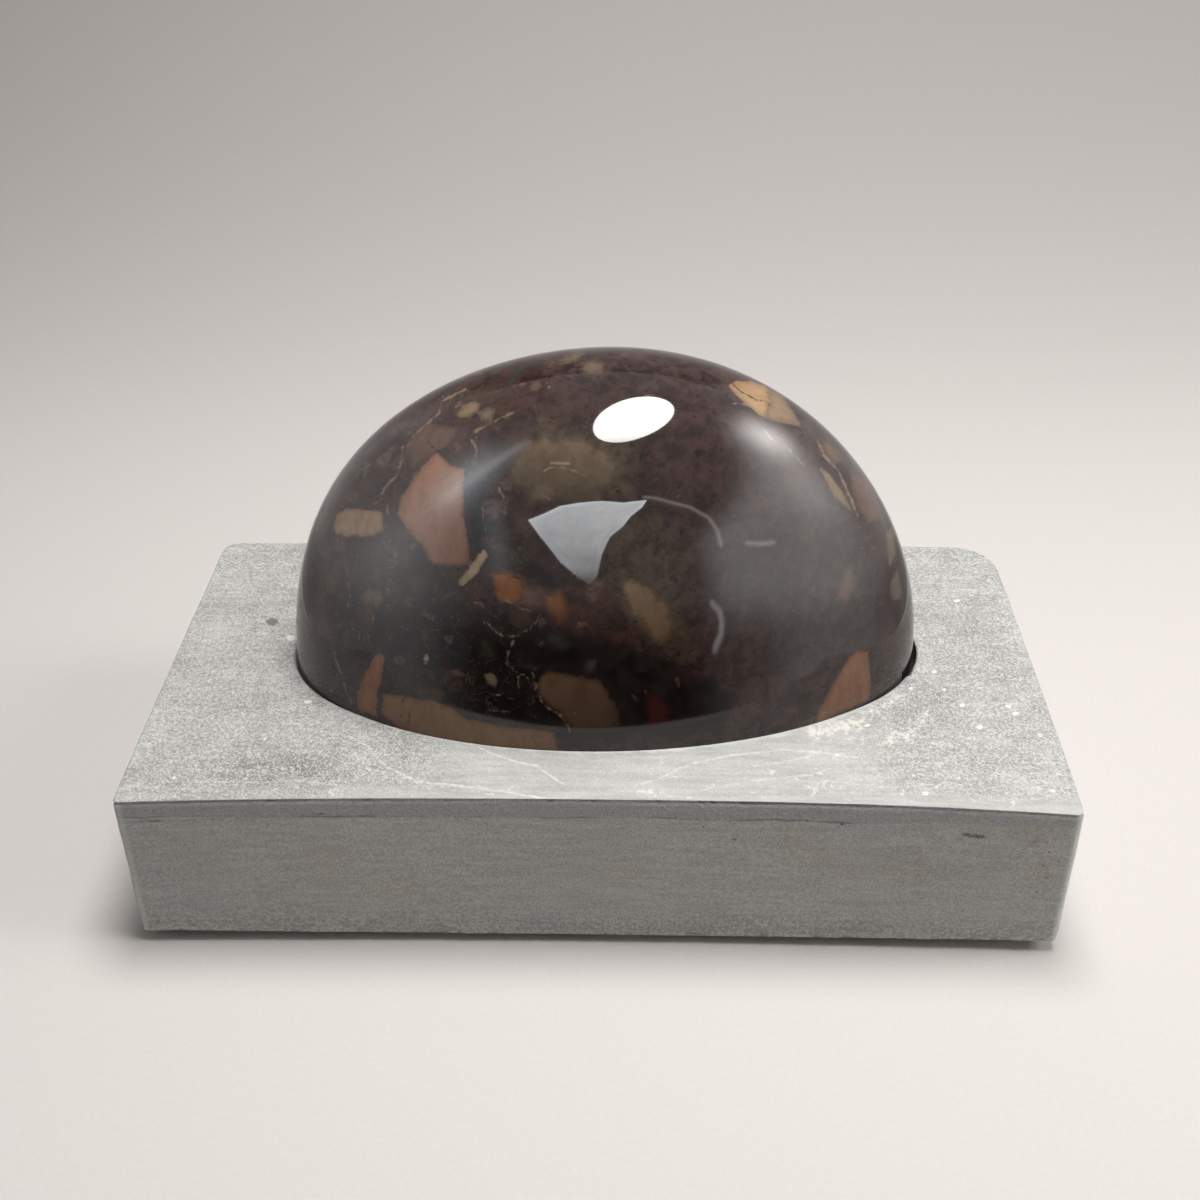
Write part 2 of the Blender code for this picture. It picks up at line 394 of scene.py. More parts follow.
# Each pebble's face on the polish: colour, softness of its edge in pixels, how fast it grows brighter to
# the right and downwards as a share a pixel, and its outline in the photograph's pixels.
PEBBLES = (
    (CREAM, 1.8, (-0.001, 0.000), ((333, 527), (337, 514), (346, 509), (362, 509), (383, 512), (383, 529),
        (374, 536), (346, 536), (335, 533))),
    (ORANGE_PINK, 1.8, (-0.002, -0.003), ((436, 452), (446, 462), (464, 470), (463, 491), (463, 515),
        (469, 548), (469, 566), (432, 565), (423, 548), (413, 536), (398, 515), (401, 499), (416, 475),
        (427, 462))),
    (ROSE_BROWN, 2.6, (0.002, -0.002), ((404, 444), (416, 433), (425, 424), (458, 428), (449, 444),
        (437, 452), (423, 459), (413, 469), (409, 456))),
    (DULL_GOLD, 1.8, (0.003, -0.003), ((456, 414), (462, 405), (472, 401), (480, 404), (478, 411),
        (468, 418), (459, 418))),
    (GREY_TAN, 2.5, (0.0, 0.0), ((479, 412), (486, 408), (494, 411), (492, 420), (482, 421))),
    (DARK_BROWN, 3.0, (0.0, 0.0), ((462, 396), (480, 388), (500, 384), (502, 392), (486, 400), (468, 402))),
    (GREY_TAN, 3.0, (0.0, 0.0), ((557, 366), (563, 357), (574, 353), (585, 352), (580, 358), (568, 364))),
    (GREY_TAN, 3.2, (0.0, 0.0), ((580, 370), (586, 362), (596, 360), (606, 366), (602, 372), (590, 373))),
    (GREY, 2.6, (0.0, 0.0), ((504, 386), (508, 378), (516, 370), (524, 366), (521, 377), (513, 385))),
    (GREY, 2.6, (0.0, 0.0), ((532, 366), (540, 362), (546, 366), (538, 371))),
    (ROSE_BROWN, 2.2, (0.0, 0.0), ((530, 390), (532, 382), (540, 379), (542, 386), (536, 392))),
    (PALE_OLIVE, 10.0, (0.001, -0.009), ((512, 462), (524, 444), (545, 436), (580, 440), (606, 452),
        (618, 470), (604, 486), (570, 498), (534, 494), (514, 482))),
    (CLOUDY_TAN, 4.5, (0.0, -0.010), ((534, 462), (548, 450), (572, 452), (588, 462), (580, 474),
        (556, 478), (540, 474))),
    (OLIVE, 6.0, (0.0, 0.0), ((528, 482), (546, 476), (560, 486), (552, 500), (532, 500))),
    (PALE_ORANGE, 1.2, (0.004, -0.002), ((729, 386), (736, 381), (752, 381), (766, 387), (770, 402),
        (764, 418), (757, 413), (747, 405), (739, 399))),
    (GREEN_TAN, 1.2, (-0.004, -0.003), ((766, 387), (783, 397), (794, 413), (802, 427), (791, 424),
        (778, 422), (764, 418), (770, 402))),
    (DULL_GOLD, 1.4, (-0.004, -0.008), ((820, 468), (829, 474), (838, 486), (846, 499), (852, 511),
        (843, 504), (834, 496), (827, 482))),
    (ROSE_BROWN, 2.2, (0.0, 0.002), ((850, 470), (863, 478), (876, 499), (880, 519), (868, 523),
        (858, 510), (852, 490))),
    (ROSE_BROWN, 2.6, (0.0, 0.0), ((818, 450), (828, 440), (840, 452), (846, 464), (834, 464))),
    (GREY_TAN, 1.6, (0.0, -0.004), ((886, 532), (893, 526), (897, 552), (889, 570))),
    (GREY_TAN, 1.6, (0.0, -0.004), ((890, 582), (899, 566), (902, 598), (892, 602))),
    (RUST, 1.4, (-0.004, -0.003), ((374, 657), (380, 653), (384, 658), (381, 680), (377, 699), (377, 716),
        (358, 710), (356, 700), (364, 677))),
    (WARM_BROWN, 1.6, (-0.001, -0.004), ((383, 694), (409, 697), (432, 701), (454, 710), (468, 720),
        (490, 724), (525, 729), (553, 732), (560, 752), (480, 752), (420, 738), (391, 722), (381, 713))),
    (OLIVE, 2.4, (0.0, 0.0), ((361, 595), (369, 589), (380, 590), (383, 601), (378, 606), (366, 603))),
    (DARK_BROWN, 3.0, (0.0, 0.0), ((355, 606), (372, 602), (376, 620), (370, 632), (358, 628))),
    (DARK_BROWN, 3.2, (0.0, 0.0), ((407, 582), (424, 576), (432, 580), (428, 588), (411, 591))),
    (GREY_GREEN, 4.0, (0.0, 0.0), ((336, 600), (346, 596), (350, 614), (340, 622))),
    (BONE, 1.2, (0.002, -0.010), ((484, 549), (487, 556), (478, 572), (461, 588), (458, 583), (467, 570))),
    (ORANGE, 3.5, (-0.012, -0.008), ((491, 574), (506, 570), (524, 578), (527, 592), (516, 604),
        (500, 602))),
    (ROSE_BROWN, 6.0, (-0.014, -0.012), ((520, 580), (538, 586), (552, 594), (548, 606), (534, 610),
        (520, 604))),
    (DIM_ORANGE, 5.0, (-0.012, -0.026), ((543, 594), (558, 592), (568, 604), (570, 619), (558, 624),
        (548, 612))),
    (DARK_BROWN, 3.5, (0.0, 0.0), ((508, 602), (528, 608), (534, 622), (522, 632), (508, 622))),
    (YELLOW_TAN, 8.0, (-0.006, -0.007), ((620, 585), (632, 580), (648, 590), (664, 604), (674, 625),
        (672, 640), (660, 644), (645, 632), (630, 610))),
    (GREY_GREEN, 3.0, (0.0, 0.0), ((545, 636), (556, 632), (566, 640), (571, 649), (560, 650), (549, 644))),
    (GREY_GREEN, 3.0, (0.0, 0.0), ((476, 640), (486, 638), (496, 652), (494, 662), (482, 656))),
    (GREY, 3.0, (0.0, 0.0), ((582, 668), (588, 658), (597, 660), (595, 670), (587, 673))),
    (BROWN, 2.6, (-0.004, -0.008), ((538, 682), (546, 672), (569, 674), (600, 680), (609, 694),
        (619, 713), (620, 727), (574, 731), (560, 713), (545, 702), (539, 696))),
    (DARK_RED, 3.0, (0.0, -0.01), ((647, 694), (656, 696), (668, 708), (674, 723), (649, 726))),
    (RED_ORANGE, 1.6, (-0.002, -0.004), ((849, 659), (857, 651), (868, 652), (871, 687), (868, 700),
        (816, 724), (818, 713), (830, 689), (842, 669))),
    (ROSE_BROWN, 4.0, (0.0, 0.0), ((838, 585), (846, 572), (852, 568), (855, 586), (847, 600), (836, 602))),
    (BONE, 1.2, (0.0, 0.0), ((424, 656), (427, 653), (429, 658), (426, 664), (424, 662))),
    (DARK_RED, 2.6, (0.0, 0.0), ((440, 662), (446, 657), (453, 662), (446, 669))),
    (DARK_RED, 2.0, (0.0, 0.0), ((397, 674), (402, 670), (406, 674), (401, 678))),
    (DULL_GOLD, 1.6, (0.0, -0.02), ((484, 674), (492, 673), (498, 680), (495, 688), (488, 684))),
)

# Patches of darker or lighter ground between the pebbles, painted one over the other: colour, softness in
# pixels and outline in the photograph's pixels.
GROUND = (0.0275, 0.0148, 0.0132)
NEAR_BLACK = (0.0072, 0.0048, 0.0044)
BLUE_BLACK = (0.0095, 0.0090, 0.0096)
MAUVE = (0.036, 0.0235, 0.0225)
DIM_OLIVE = (0.040, 0.0275, 0.0175)
DIM_RED = (0.030, 0.0120, 0.0090)
PATCHES = (
    (MAUVE, 16, ((380, 430), (480, 350), (600, 335), (740, 370), (860, 450), (800, 440), (700, 385),
        (600, 372), (500, 385), (420, 440))),
    (DIM_RED, 14, ((420, 410), (500, 372), (560, 372), (545, 398), (480, 425), (430, 440))),
    (DIM_OLIVE, 12, ((512, 442), (545, 428), (608, 436), (640, 460), (626, 494), (590, 506), (528, 502))),
    (DIM_OLIVE, 22, ((600, 530), (660, 520), (690, 560), (690, 640), (650, 655), (610, 600))),
    (DIM_RED, 14, ((560, 590), (620, 590), (640, 640), (600, 660), (560, 630))),
    (NEAR_BLACK, 10, ((432, 640), (470, 632), (500, 612), (545, 622), (600, 636), (640, 652), (700, 676),
        (740, 700), (720, 735), (560, 740), (470, 722), (438, 700))),
    (BLUE_BLACK, 8, ((464, 484), (482, 482), (498, 510), (497, 560), (474, 572), (466, 540))),
    (BLUE_BLACK, 14, ((392, 535), (440, 572), (466, 600), (470, 660), (440, 690), (392, 690), (352, 650),
        (340, 600), (360, 552))),
    (NEAR_BLACK, 7, ((509, 556), (520, 546), (540, 566), (556, 588), (530, 580), (508, 572))),
    (DIM_RED, 10, ((314, 560), (330, 530), (340, 545), (334, 590), (318, 640), (306, 620))),
)

# Pale veins: half width in pixels, and the line that each follows.
VEINS = (
    (1.0, ((441, 402), (452, 396), (466, 389))),
    (0.8, ((412, 437), (422, 428), (432, 419), (439, 413), (441, 402))),
    (1.1, ((381, 494), (388, 484), (396, 476), (400, 466), (402, 456), (403, 446))),
    (0.8, ((374, 504), (382, 499), (387, 504), (388, 514))),
    (0.8, ((498, 487), (503, 496), (506, 504), (504, 512))),
    (0.9, ((471, 440), (475, 445), (477, 451), (475, 458))),
    (0.6, ((482, 506), (484, 520), (486, 534))),
    (0.9, ((543, 471), (552, 467), (569, 469), (587, 476))),
    (0.8, ((541, 494), (550, 500))),
    (0.8, ((818, 441), (824, 456), (838, 470), (850, 496), (858, 517))),
    (0.9, ((505, 600), (514, 604), (522, 609), (532, 612))),
    (0.6, ((486, 622), (494, 630), (504, 637), (514, 636), (520, 633), (528, 630), (536, 622), (540, 612))),
    (0.8, ((514, 640), (508, 652), (507, 664), (513, 671), (522, 674), (530, 680))),
    (0.8, ((532, 672), (536, 680), (536, 690), (541, 701))),
    (0.7, ((518, 676), (519, 688))),
    (1.1, ((541, 700), (547, 708), (556, 712), (562, 716), (568, 727), (573, 738))),
    (0.9, ((474, 432), (486, 426), (500, 419), (514, 412))),
    (0.7, ((468, 604), (480, 602), (484, 608))),
    (0.5, ((345, 556), (348, 578), (350, 596), (348, 606))),
    (0.6, ((334, 652), (340, 672), (346, 690), (352, 704))),
    (0.5, ((487, 711), (496, 710.5), (505, 711), (514, 710.5))),
    (0.7, ((490, 693), (500, 695.5), (515, 700))),
    (0.5, ((560, 553), (571, 570), (580, 581))),
    (0.5, ((733, 404), (741, 403), (748, 405))),
    (0.5, ((762, 428), (772, 440), (786, 446), (804, 466))),
)

# Dark hairlines through the pebbles.
DARK_LINES = (
    (0.9, ((404, 699), (402, 706), (401, 716))),
    (0.9, ((413, 703), (410, 712), (408, 724))),
    (0.8, ((427, 440), (433, 448), (438, 452), (445, 450))),
    (0.8, ((508, 572), (506, 556), (513, 546), (520, 540))),
    (0.7, ((733, 384), (741, 392), (757, 400), (770, 402))),
    (0.8, ((497, 572), (509, 576), (520, 578))),
)

# Scatters of pale crumbs along lines: half width in pixels, and the line.
CRUMB_LINES = (
    (6.0, ((442, 401), (456, 394), (468, 393))),
    (5.0, ((548, 362), (556, 370), (552, 382), (548, 386))),
    (4.0, ((374, 504), (384, 492), (392, 476), (402, 456), (410, 440), (426, 424))),
    (5.0, ((497, 486), (506, 500), (508, 512))),
    (3.5, ((470, 440), (478, 450), (474, 458), (474, 432), (492, 424), (514, 412))),
    (6.0, ((386, 530), (392, 556), (392, 580), (384, 600))),
    (6.0, ((360, 600), (380, 596), (372, 622), (366, 640), (340, 625))),
    (4.0, ((424, 610), (436, 618), (444, 620), (458, 620))),
    (4.0, ((466, 604), (482, 604))),
    (4.0, ((486, 622), (500, 634), (516, 636), (534, 626))),
    (3.0, ((508, 652), (512, 671), (534, 684), (546, 706))),
    (4.0, ((484, 676), (494, 684))),
    (3.0, ((318, 545), (322, 560), (314, 580), (308, 605))),
    (4.0, ((336, 655), (345, 690), (356, 704))),
    (4.0, ((520, 546), (512, 560), (520, 572))),
    (3.0, ((818, 441), (838, 470), (858, 517), (864, 560))),
    (2.5, ((640, 470), (660, 480), (690, 506))),
)

# The least depth that is told apart, in pixels: from here outwards nothing is painted.
FAR_OUT = -16.0


def near_in_picture(places, outline):
    corners = np.array(outline, float)
    low = corners.min(axis=0) + FAR_OUT
    high = corners.max(axis=0) - FAR_OUT
    return (places > low).all(axis=1) & (places < high).all(axis=1)


def lines_depth(places, shown, lines):
    """The greatest of the lines' half widths less the distance to them, in pixels."""
    depth = np.full(len(places), FAR_OUT)
    for half_width, line in lines:
        near = shown & near_in_picture(places, line)
        depth[near] = np.maximum(depth[near], line_depth(places[near], line) + half_width)
    return depth


def painted_ground(points, places, shown, facing):
    """The colour between the pebbles: chance patches, and the photograph's own on the side that shows."""
    mm = points * 1000
    chance_tints = (DIM_OLIVE, DIM_RED, NEAR_BLACK, MAUVE)
    ground = np.tile(np.array(GROUND), (len(points), 1))
    own = ground.copy()
    for seed, tint in enumerate(chance_tints, 41):
        share = 0.85 * smooth_step(0.10, 0.42, noise(mm, 15.0, seed, 3))
        ground += share[:, None] * (np.array(tint) - ground)
    near = np.flatnonzero(shown)
    for tint, softness, outline in PATCHES:
        inside = outline_depth(places[near], outline) + softness * 0.9 * noise(mm[near], 4.0, 60, 3)
        share = 0.95 * smooth_step(-softness, softness, inside)
        own[near] += share[:, None] * (np.array(tint) - own[near])
    return ground + smooth_step(0.03, 0.15, facing)[:, None] * (own - ground)


class Pebbles:
    """Which pebble each point belongs to: the one that it lies deepest in, for the softness of its edge."""

    def __init__(self, count):
        self.depth = np.full(count, FAR_OUT)
        self.soft = np.ones(count)
        self.color = np.tile(np.array(DARK_BROWN), (count, 1))

    def add(self, near, inside, softness):
        """Points near a pebble and their depth in it; back come those that are now this pebble's."""
        better = inside / softness > self.depth[near] / self.soft[near]
        chosen = np.flatnonzero(near)[better]
        self.depth[chosen] = inside[better]
        self.soft[chosen] = softness
        return chosen


def add_shown_pebbles(pebbles, places, shown):
    for tint, softness, slope, outline in PEBBLES:
        near = shown & near_in_picture(places, outline)
        chosen = pebbles.add(near, outline_depth(places[near], outline), softness)
        away = places[chosen] - np.mean(outline, axis=0)
        brightness = np.clip(1 + away @ np.array(slope), 0.45, 1.5)
        pebbles.color[chosen] = np.array(tint) * brightness[:, None]


HIDDEN_TINTS = (
    CREAM, ORANGE_PINK, GREEN_TAN, DIM_ORANGE, RED_ORANGE, BROWN, WARM_BROWN, ROSE_BROWN, OLIVE, YELLOW_TAN,
    GREY_TAN, GREY, GREY_GREEN, DARK_RED, DARK_BROWN, DARK_BROWN, BROWN, ROSE_BROWN, GREY_GREEN, OLIVE,
)
HIDDEN_PEBBLES = 125
HIDDEN_PLANES = 7
LEAST_REACH = 0.0010
ADDED_REACH = 0.0075
PIXELS_PER_METRE = 5000


def add_hidden_pebbles(pebbles, points, facing):
    """Angular pebbles on the sides that the photograph doesn't show, each cut by a few chance planes."""
    chance = np.random.default_rng(24)
    hidden = np.flatnonzero((facing < 0.12) & (points[:, 2] > BLOCK_HEIGHT - 0.002))
    for _ in range(HIDDEN_PEBBLES):
        middle = points[hidden[chance.integers(len(hidden))]]
        reach = LEAST_REACH + ADDED_REACH * chance.random() ** 3.2
        planes = chance.normal(size=(HIDDEN_PLANES, 3))
        planes /= np.linalg.norm(planes, axis=1, keepdims=True)
        offsets = reach * (0.55 + 0.6 * chance.random(HIDDEN_PLANES))
        tint = np.array(HIDDEN_TINTS[chance.integers(len(HIDDEN_TINTS))])
        tint *= 0.40 + 0.60 * chance.random() ** 1.5
        softness = 1.8 + 6.0 * chance.random() ** 1.5
        away = points - middle
        near = (np.linalg.norm(away, axis=1) < reach * 1.8 + 0.002) & (facing < 0.10)
        inside = (offsets - away[near] @ planes.T).min(axis=1) * PIXELS_PER_METRE
        inside += FAR_OUT * smooth_step(0.0, 0.10, facing[near])
        pebbles.color[pebbles.add(near, inside, softness)] = tint


def paint_stone(obj, points, faces):
    """Numbers and colours on the stone's points, which its material draws its pebbles and veins from."""
    normals = vertex_normals(points, faces)
    towards = np.array(CAMERA_PLACE) - points
    facing = (normals * towards).sum(axis=1) / np.linalg.norm(towards, axis=1)
    shown = facing > 0.02
    places = picture_place(points)
    pebbles = Pebbles(len(points))
    add_shown_pebbles(pebbles, places, shown)
    add_hidden_pebbles(pebbles, points, facing)
    mm = points * 1000
    left = smooth_step(0.010, -0.035, points[:, 0] + 0.006 * noise(mm, 14.0, 8))
    crumbs = 0.04 + 0.80 * left + 0.35 * np.maximum(noise(mm, 18.0, 5), 0) * (facing < 0.1)
    set_numbers(obj, "pebble_depth", np.clip(pebbles.depth, FAR_OUT, -FAR_OUT))
    set_numbers(obj, "pebble_soft", pebbles.soft)
    set_colors(obj, "pebble_color", pebbles.color)
    set_colors(obj, "ground_color", painted_ground(points, places, shown, facing))
    set_numbers(obj, "vein_depth", lines_depth(places, shown, VEINS))
    set_numbers(obj, "dark_depth", lines_depth(places, shown, DARK_LINES))
    set_numbers(obj, "crumb_depth", lines_depth(places, shown, CRUMB_LINES))
    set_numbers(obj, "crumb_share", np.clip(crumbs, 0, 1))


# Node graphs.

class Graph:
    """A short way to write nodes: numbers, colours and sockets all go where a value is wanted."""

    def __init__(self, tree):
        self.tree = tree

    def put(self, socket, value):
        if isinstance(value, bpy.types.NodeSocket):
            self.tree.links.new(value, socket)
        elif isinstance(value, tuple) and len(value) == 3 and socket.type == "RGBA":
            socket.default_value = (*value, 1.0)
        else:
            socket.default_value = value

    def node(self, kind, inputs=None, **settings):
        """A new node with these settings, and what goes into its inputs, by their names or numbers."""
        node = self.tree.nodes.new(kind)
        for key, value in settings.items():
            setattr(node, key, value)
        for key, value in (inputs or {}).items():
            self.put(node.inputs[key], value)
        return node

    def vector(self, operation, a, b):
        inputs = {0: a, "Scale" if operation == "SCALE" else 1: b}
        return self.node("ShaderNodeVectorMath", inputs, operation=operation).outputs[0]

    def math(self, operation, a, b=0.0):
        return self.node("ShaderNodeMath", {0: a, 1: b}, operation=operation).outputs[0]

    def mul(self, a, b):
        return self.math("MULTIPLY", a, b)

    def add(self, a, b):
        return self.math("ADD", a, b)

    def sub(self, a, b):
        return self.math("SUBTRACT", a, b)

    def above(self, a, b):
        return self.math("GREATER_THAN", a, b)

    def step(self, value, low, high, out_low=0.0, out_high=1.0, kind="SMOOTHSTEP"):
        """The value from low to high, carried over to the range of the outputs."""
        inputs = {"Value": value, "From Min": low, "From Max": high, "To Min": out_low, "To Max": out_high}
        return self.node("ShaderNodeMapRange", inputs, interpolation_type=kind).outputs[0]

    def mix(self, share, a, b, blend="MIX"):
        inputs = {0: share, 6: a, 7: b}
        return self.node("ShaderNodeMix", inputs, data_type="RGBA", blend_type=blend).outputs[2]

    def lay(self, under, share, amount, tint):
        """A tint laid over a colour, by a share from nought to one times an amount."""
        return self.mix(self.mul(share, amount), under, tint)

    def scaled(self, color, value):
        """A colour times a number."""
        grey = self.node("ShaderNodeCombineColor", {0: value, 1: value, 2: value}).outputs[0]
        return self.mix(1.0, color, grey, "MULTIPLY")

    def part(self, vector, axis):
        return self.node("ShaderNodeSeparateXYZ", {0: vector}).outputs[axis]

    def channel(self, color, index):
        return self.node("ShaderNodeSeparateColor", {0: color}).outputs[index]

    def millimetres(self):
        return self.vector("SCALE", self.node("ShaderNodeTexCoord").outputs["Object"], 1000.0)

    def stretched(self, place, x, y, z):
        return self.vector("MULTIPLY", place, (x, y, z))

    def noise(self, place, scale, detail=2.0, roughness=0.5, distortion=0.0, output=0):
        """Noise from 0 to 1 with about this many lumps a millimetre."""
        inputs = {"Vector": place, "Scale": scale, "Detail": detail, "Roughness": roughness}
        node = self.node("ShaderNodeTexNoise", inputs)
        self.put(node.inputs["Distortion"], distortion)
        return node.outputs[output]

    def wander(self, place, scale, detail, roughness, amount):
        """Noise about nought, this far from its least to its greatest."""
        return self.mul(self.sub(self.noise(place, scale, detail, roughness), 0.5), amount)

    def warped(self, place, scale, amount):
        """The place moved about by noise, so that what is drawn there gets ragged edges."""
        shift = self.vector("SUBTRACT", self.noise(place, scale, 3.0, 0.6, output=1), (0.5, 0.5, 0.5))
        return self.vector("ADD", place, self.vector("SCALE", shift, amount))

    def cells(self, place, scale, feature="F1"):
        """The outputs of chance cells: the distance to their middle or edge, and each one's chance colour."""
        return self.node("ShaderNodeTexVoronoi", {"Vector": place, "Scale": scale}, feature=feature).outputs

    def cell_edge(self, place, scale):
        return self.cells(place, scale, "DISTANCE_TO_EDGE")["Distance"]

    def ramp(self, value, *stops):
        node = self.node("ShaderNodeValToRGB", {0: value})
        elements = node.color_ramp.elements
        while len(elements) < len(stops):
            elements.new(0.5)
        for element, (position, tint) in zip(elements, stops):
            element.position = position
            element.color = (*tint, 1.0)
        return node.outputs[0]

    def attribute(self, name, output="Fac"):
        return self.node("ShaderNodeAttribute", attribute_name=name).outputs[output]

    def surface(self, **values):
        shader = self.tree.nodes["Principled BSDF"]
        for name, value in values.items():
            self.put(shader.inputs[name.replace("_", " ")], value)


def new_material(name):
    material = bpy.data.materials.new(name)
    material.use_nodes = True
    return material, Graph(material.node_tree)


# The stone's material.

MURK = (0.0050, 0.0036, 0.0038)
CRACK_BLACK = (0.006, 0.004, 0.004)
HAIRLINE_BLACK = (0.010, 0.006, 0.005)
CRACK_TAN = (0.14, 0.10, 0.07)
VEIN_TAN = (0.205, 0.150, 0.102)
SPECK_TAN = (0.26, 0.21, 0.17)
STREAK_SHADE = (0.66, 0.55, 0.48)
GRAIN_SHINE = (1.5, 1.45, 1.4)
MOTTLE_STOPS = (
    (0.38, (0.045, 0.022, 0.015)),
    (0.50, (0.065, 0.044, 0.033)),
    (0.62, (0.050, 0.040, 0.034)),
)
FRAGMENT_STOPS = (
    (0.0, (0.045, 0.020, 0.014)),
    (0.28, (0.090, 0.046, 0.030)),
    (0.52, (0.070, 0.052, 0.042)),
    (0.74, (0.130, 0.080, 0.050)),
    (0.92, (0.190, 0.135, 0.092)),
)
CRUMB_STOPS = (
    (0.38, (0.060, 0.038, 0.026)),
    (0.55, (0.105, 0.075, 0.050)),
    (0.68, (0.190, 0.145, 0.098)),
)
# Two sizes of the ground's fragments: cells a millimetre, the share that stays dark, and how far they move.
FRAGMENT_SIZES = ((0.20, 0.80, 0.0), (0.46, 0.78, 31.0))
FRAGMENT_STRENGTH = 0.34


def stone_ground(g, mm, crumb_share):
    """The dark ground between the pebbles, with its mottling, its small fragments and its fine cracks."""
    cloud = g.noise(mm, 0.26, 5.0, 0.66, 0.5)
    ground = g.scaled(g.attribute("ground_color", "Color"), g.step(cloud, 0.34, 0.66, 0.62, 1.55))
    ground = g.mix(g.step(g.noise(mm, 0.62, 4.0, 0.62), 0.55, 0.70, 0.0, 0.75), ground, MURK)
    mottle = g.step(g.noise(mm, 0.85, 4.0, 0.68, 0.8), 0.55, 0.66)
    mottle = g.mul(mottle, g.step(crumb_share, 0.1, 0.9, 0.10, 0.55))
    ground = g.mix(mottle, ground, g.ramp(g.noise(mm, 0.33, 2.0, 0.5), *MOTTLE_STOPS))
    ragged = g.warped(mm, 0.9, 1.3)
    for scale, dark_share, shift in FRAGMENT_SIZES:
        place = g.vector("ADD", ragged, (shift, shift / 2, -shift))
        chance = g.cells(place, scale)["Color"]
        limit = g.sub(1.0, g.mul(crumb_share, 1.0 - dark_share))
        there = g.above(g.channel(chance, 0), limit)
        faded = g.step(g.noise(mm, 0.9, 3.0, 0.65), 0.36, 0.60, 0.15, 1.0)
        body = g.mul(g.step(g.cell_edge(place, scale), 0.02, 0.22), faded)
        tint = g.ramp(g.channel(chance, 1), *FRAGMENT_STOPS)
        ground = g.lay(ground, g.mul(there, body), FRAGMENT_STRENGTH, tint)
    fine_crack = g.cell_edge(g.warped(mm, 0.6, 2.0), 0.15)
    return g.mix(g.step(fine_crack, 0.012, 0.003, 0.0, 0.40), ground, CRACK_BLACK)


def stone_pebbles(g, mm):
    """The pebbles' colour, streaked and grained, and the share of them that shows at each place."""
    soft = g.attribute("pebble_soft")
    broad_edge = g.wander(mm, 0.34, 4.0, 0.6, g.mul(soft, 3.5))
    inside = g.add(g.add(g.attribute("pebble_depth"), g.wander(mm, 1.5, 3.0, 0.6, 3.6)), broad_edge)
    pebble = g.attribute("pebble_color", "Color")
    streak = g.noise(g.stretched(g.warped(mm, 0.12, 5.0), 0.75, 0.75, 0.28), 0.55, 5.0, 0.62, 0.2)
    shaded = g.mix(1.0, pebble, STREAK_SHADE, "MULTIPLY")
    pebble = g.mix(g.step(streak, 0.40, 0.66, 0.0, 0.55), pebble, shaded)
    grain = g.noise(mm, 3.2, 3.0, 0.7)
    shining = g.mix(1.0, pebble, GRAIN_SHINE, "MULTIPLY")
    pebble = g.mix(g.step(grain, 0.35, 0.75, 0.0, 0.22), pebble, shining)
    pebble = g.scaled(pebble, g.step(inside, 0.0, 6.0, 0.74, 1.0))
    return pebble, g.step(inside, g.mul(soft, -1.0), soft)


def stone_lines(g, mm, crumb_share, surface):
    """Cracks, crumbs, hairlines, veins and pale specks over the ground and the pebbles."""
    crack = g.cell_edge(g.warped(mm, 0.35, 4.0), 0.10)
    crack_there = g.mul(g.step(g.noise(mm, 0.10, 2.0), 0.50, 0.60), crumb_share)
    line = g.mul(g.step(crack, 0.010, 0.003), crack_there)
    surface = g.lay(surface, line, 0.28, CRACK_TAN)

    crumb_depth = g.attribute("crumb_depth")
    crumb_limit = g.sub(0.62, g.mul(crumb_depth, 0.018))
    crumb = g.step(g.sub(g.noise(mm, 1.15, 4.0, 0.7, 0.4), crumb_limit), 0.0, 0.05)
    crumb = g.mul(crumb, g.step(crumb_depth, -0.5, 1.5, 0.0, 0.85))
    surface = g.mix(crumb, surface, g.ramp(g.noise(mm, 0.9, 2.0), *CRUMB_STOPS))

    hairline = g.add(g.attribute("dark_depth"), g.wander(mm, 0.9, 3.0, 0.6, 3.0))
    surface = g.mix(g.step(hairline, -0.6, 0.6, 0.0, 0.75), surface, HAIRLINE_BLACK)

    vein = g.add(g.attribute("vein_depth"), g.wander(mm, 0.55, 4.0, 0.65, 4.5))
    broken = g.step(g.noise(mm, 0.55, 4.0, 0.7), 0.38, 0.62, 0.25, 0.70)
    surface = g.lay(surface, g.step(vein, -0.9, 0.9), broken, VEIN_TAN)

    cells = g.cells(mm, 0.42)
    chance = g.channel(cells["Color"], 2)
    speck = g.mul(g.step(cells["Distance"], 0.060, 0.035), g.above(chance, 0.94))
    return g.mix(speck, surface, SPECK_TAN)


def stone_material():
    material, g = new_material("polished_puddingstone")
    mm = g.millimetres()
    crumb_share = g.attribute("crumb_share")
    ground = stone_ground(g, mm, crumb_share)
    pebble, shown = stone_pebbles(g, mm)
    surface = stone_lines(g, mm, crumb_share, g.mix(shown, ground, pebble))
    g.surface(Base_Color=surface, Roughness=0.035, IOR=1.54)
    return material


# The block's form.

FRONT_STEPS = 410
BACK_STEPS = 180
SIDE_STEPS = 100
CORNER_STEPS = 7
EDGE_STEPS = 4
FACE_RINGS = 54
TOP_RINGS = 40
SOCKET_EDGE_STEPS = 3
# In front, where the stone sits tight, the socket's gap and the wear of its lip.
FRONT_GAP = 0.00004
FRONT_LIP_WEAR = 0.00010


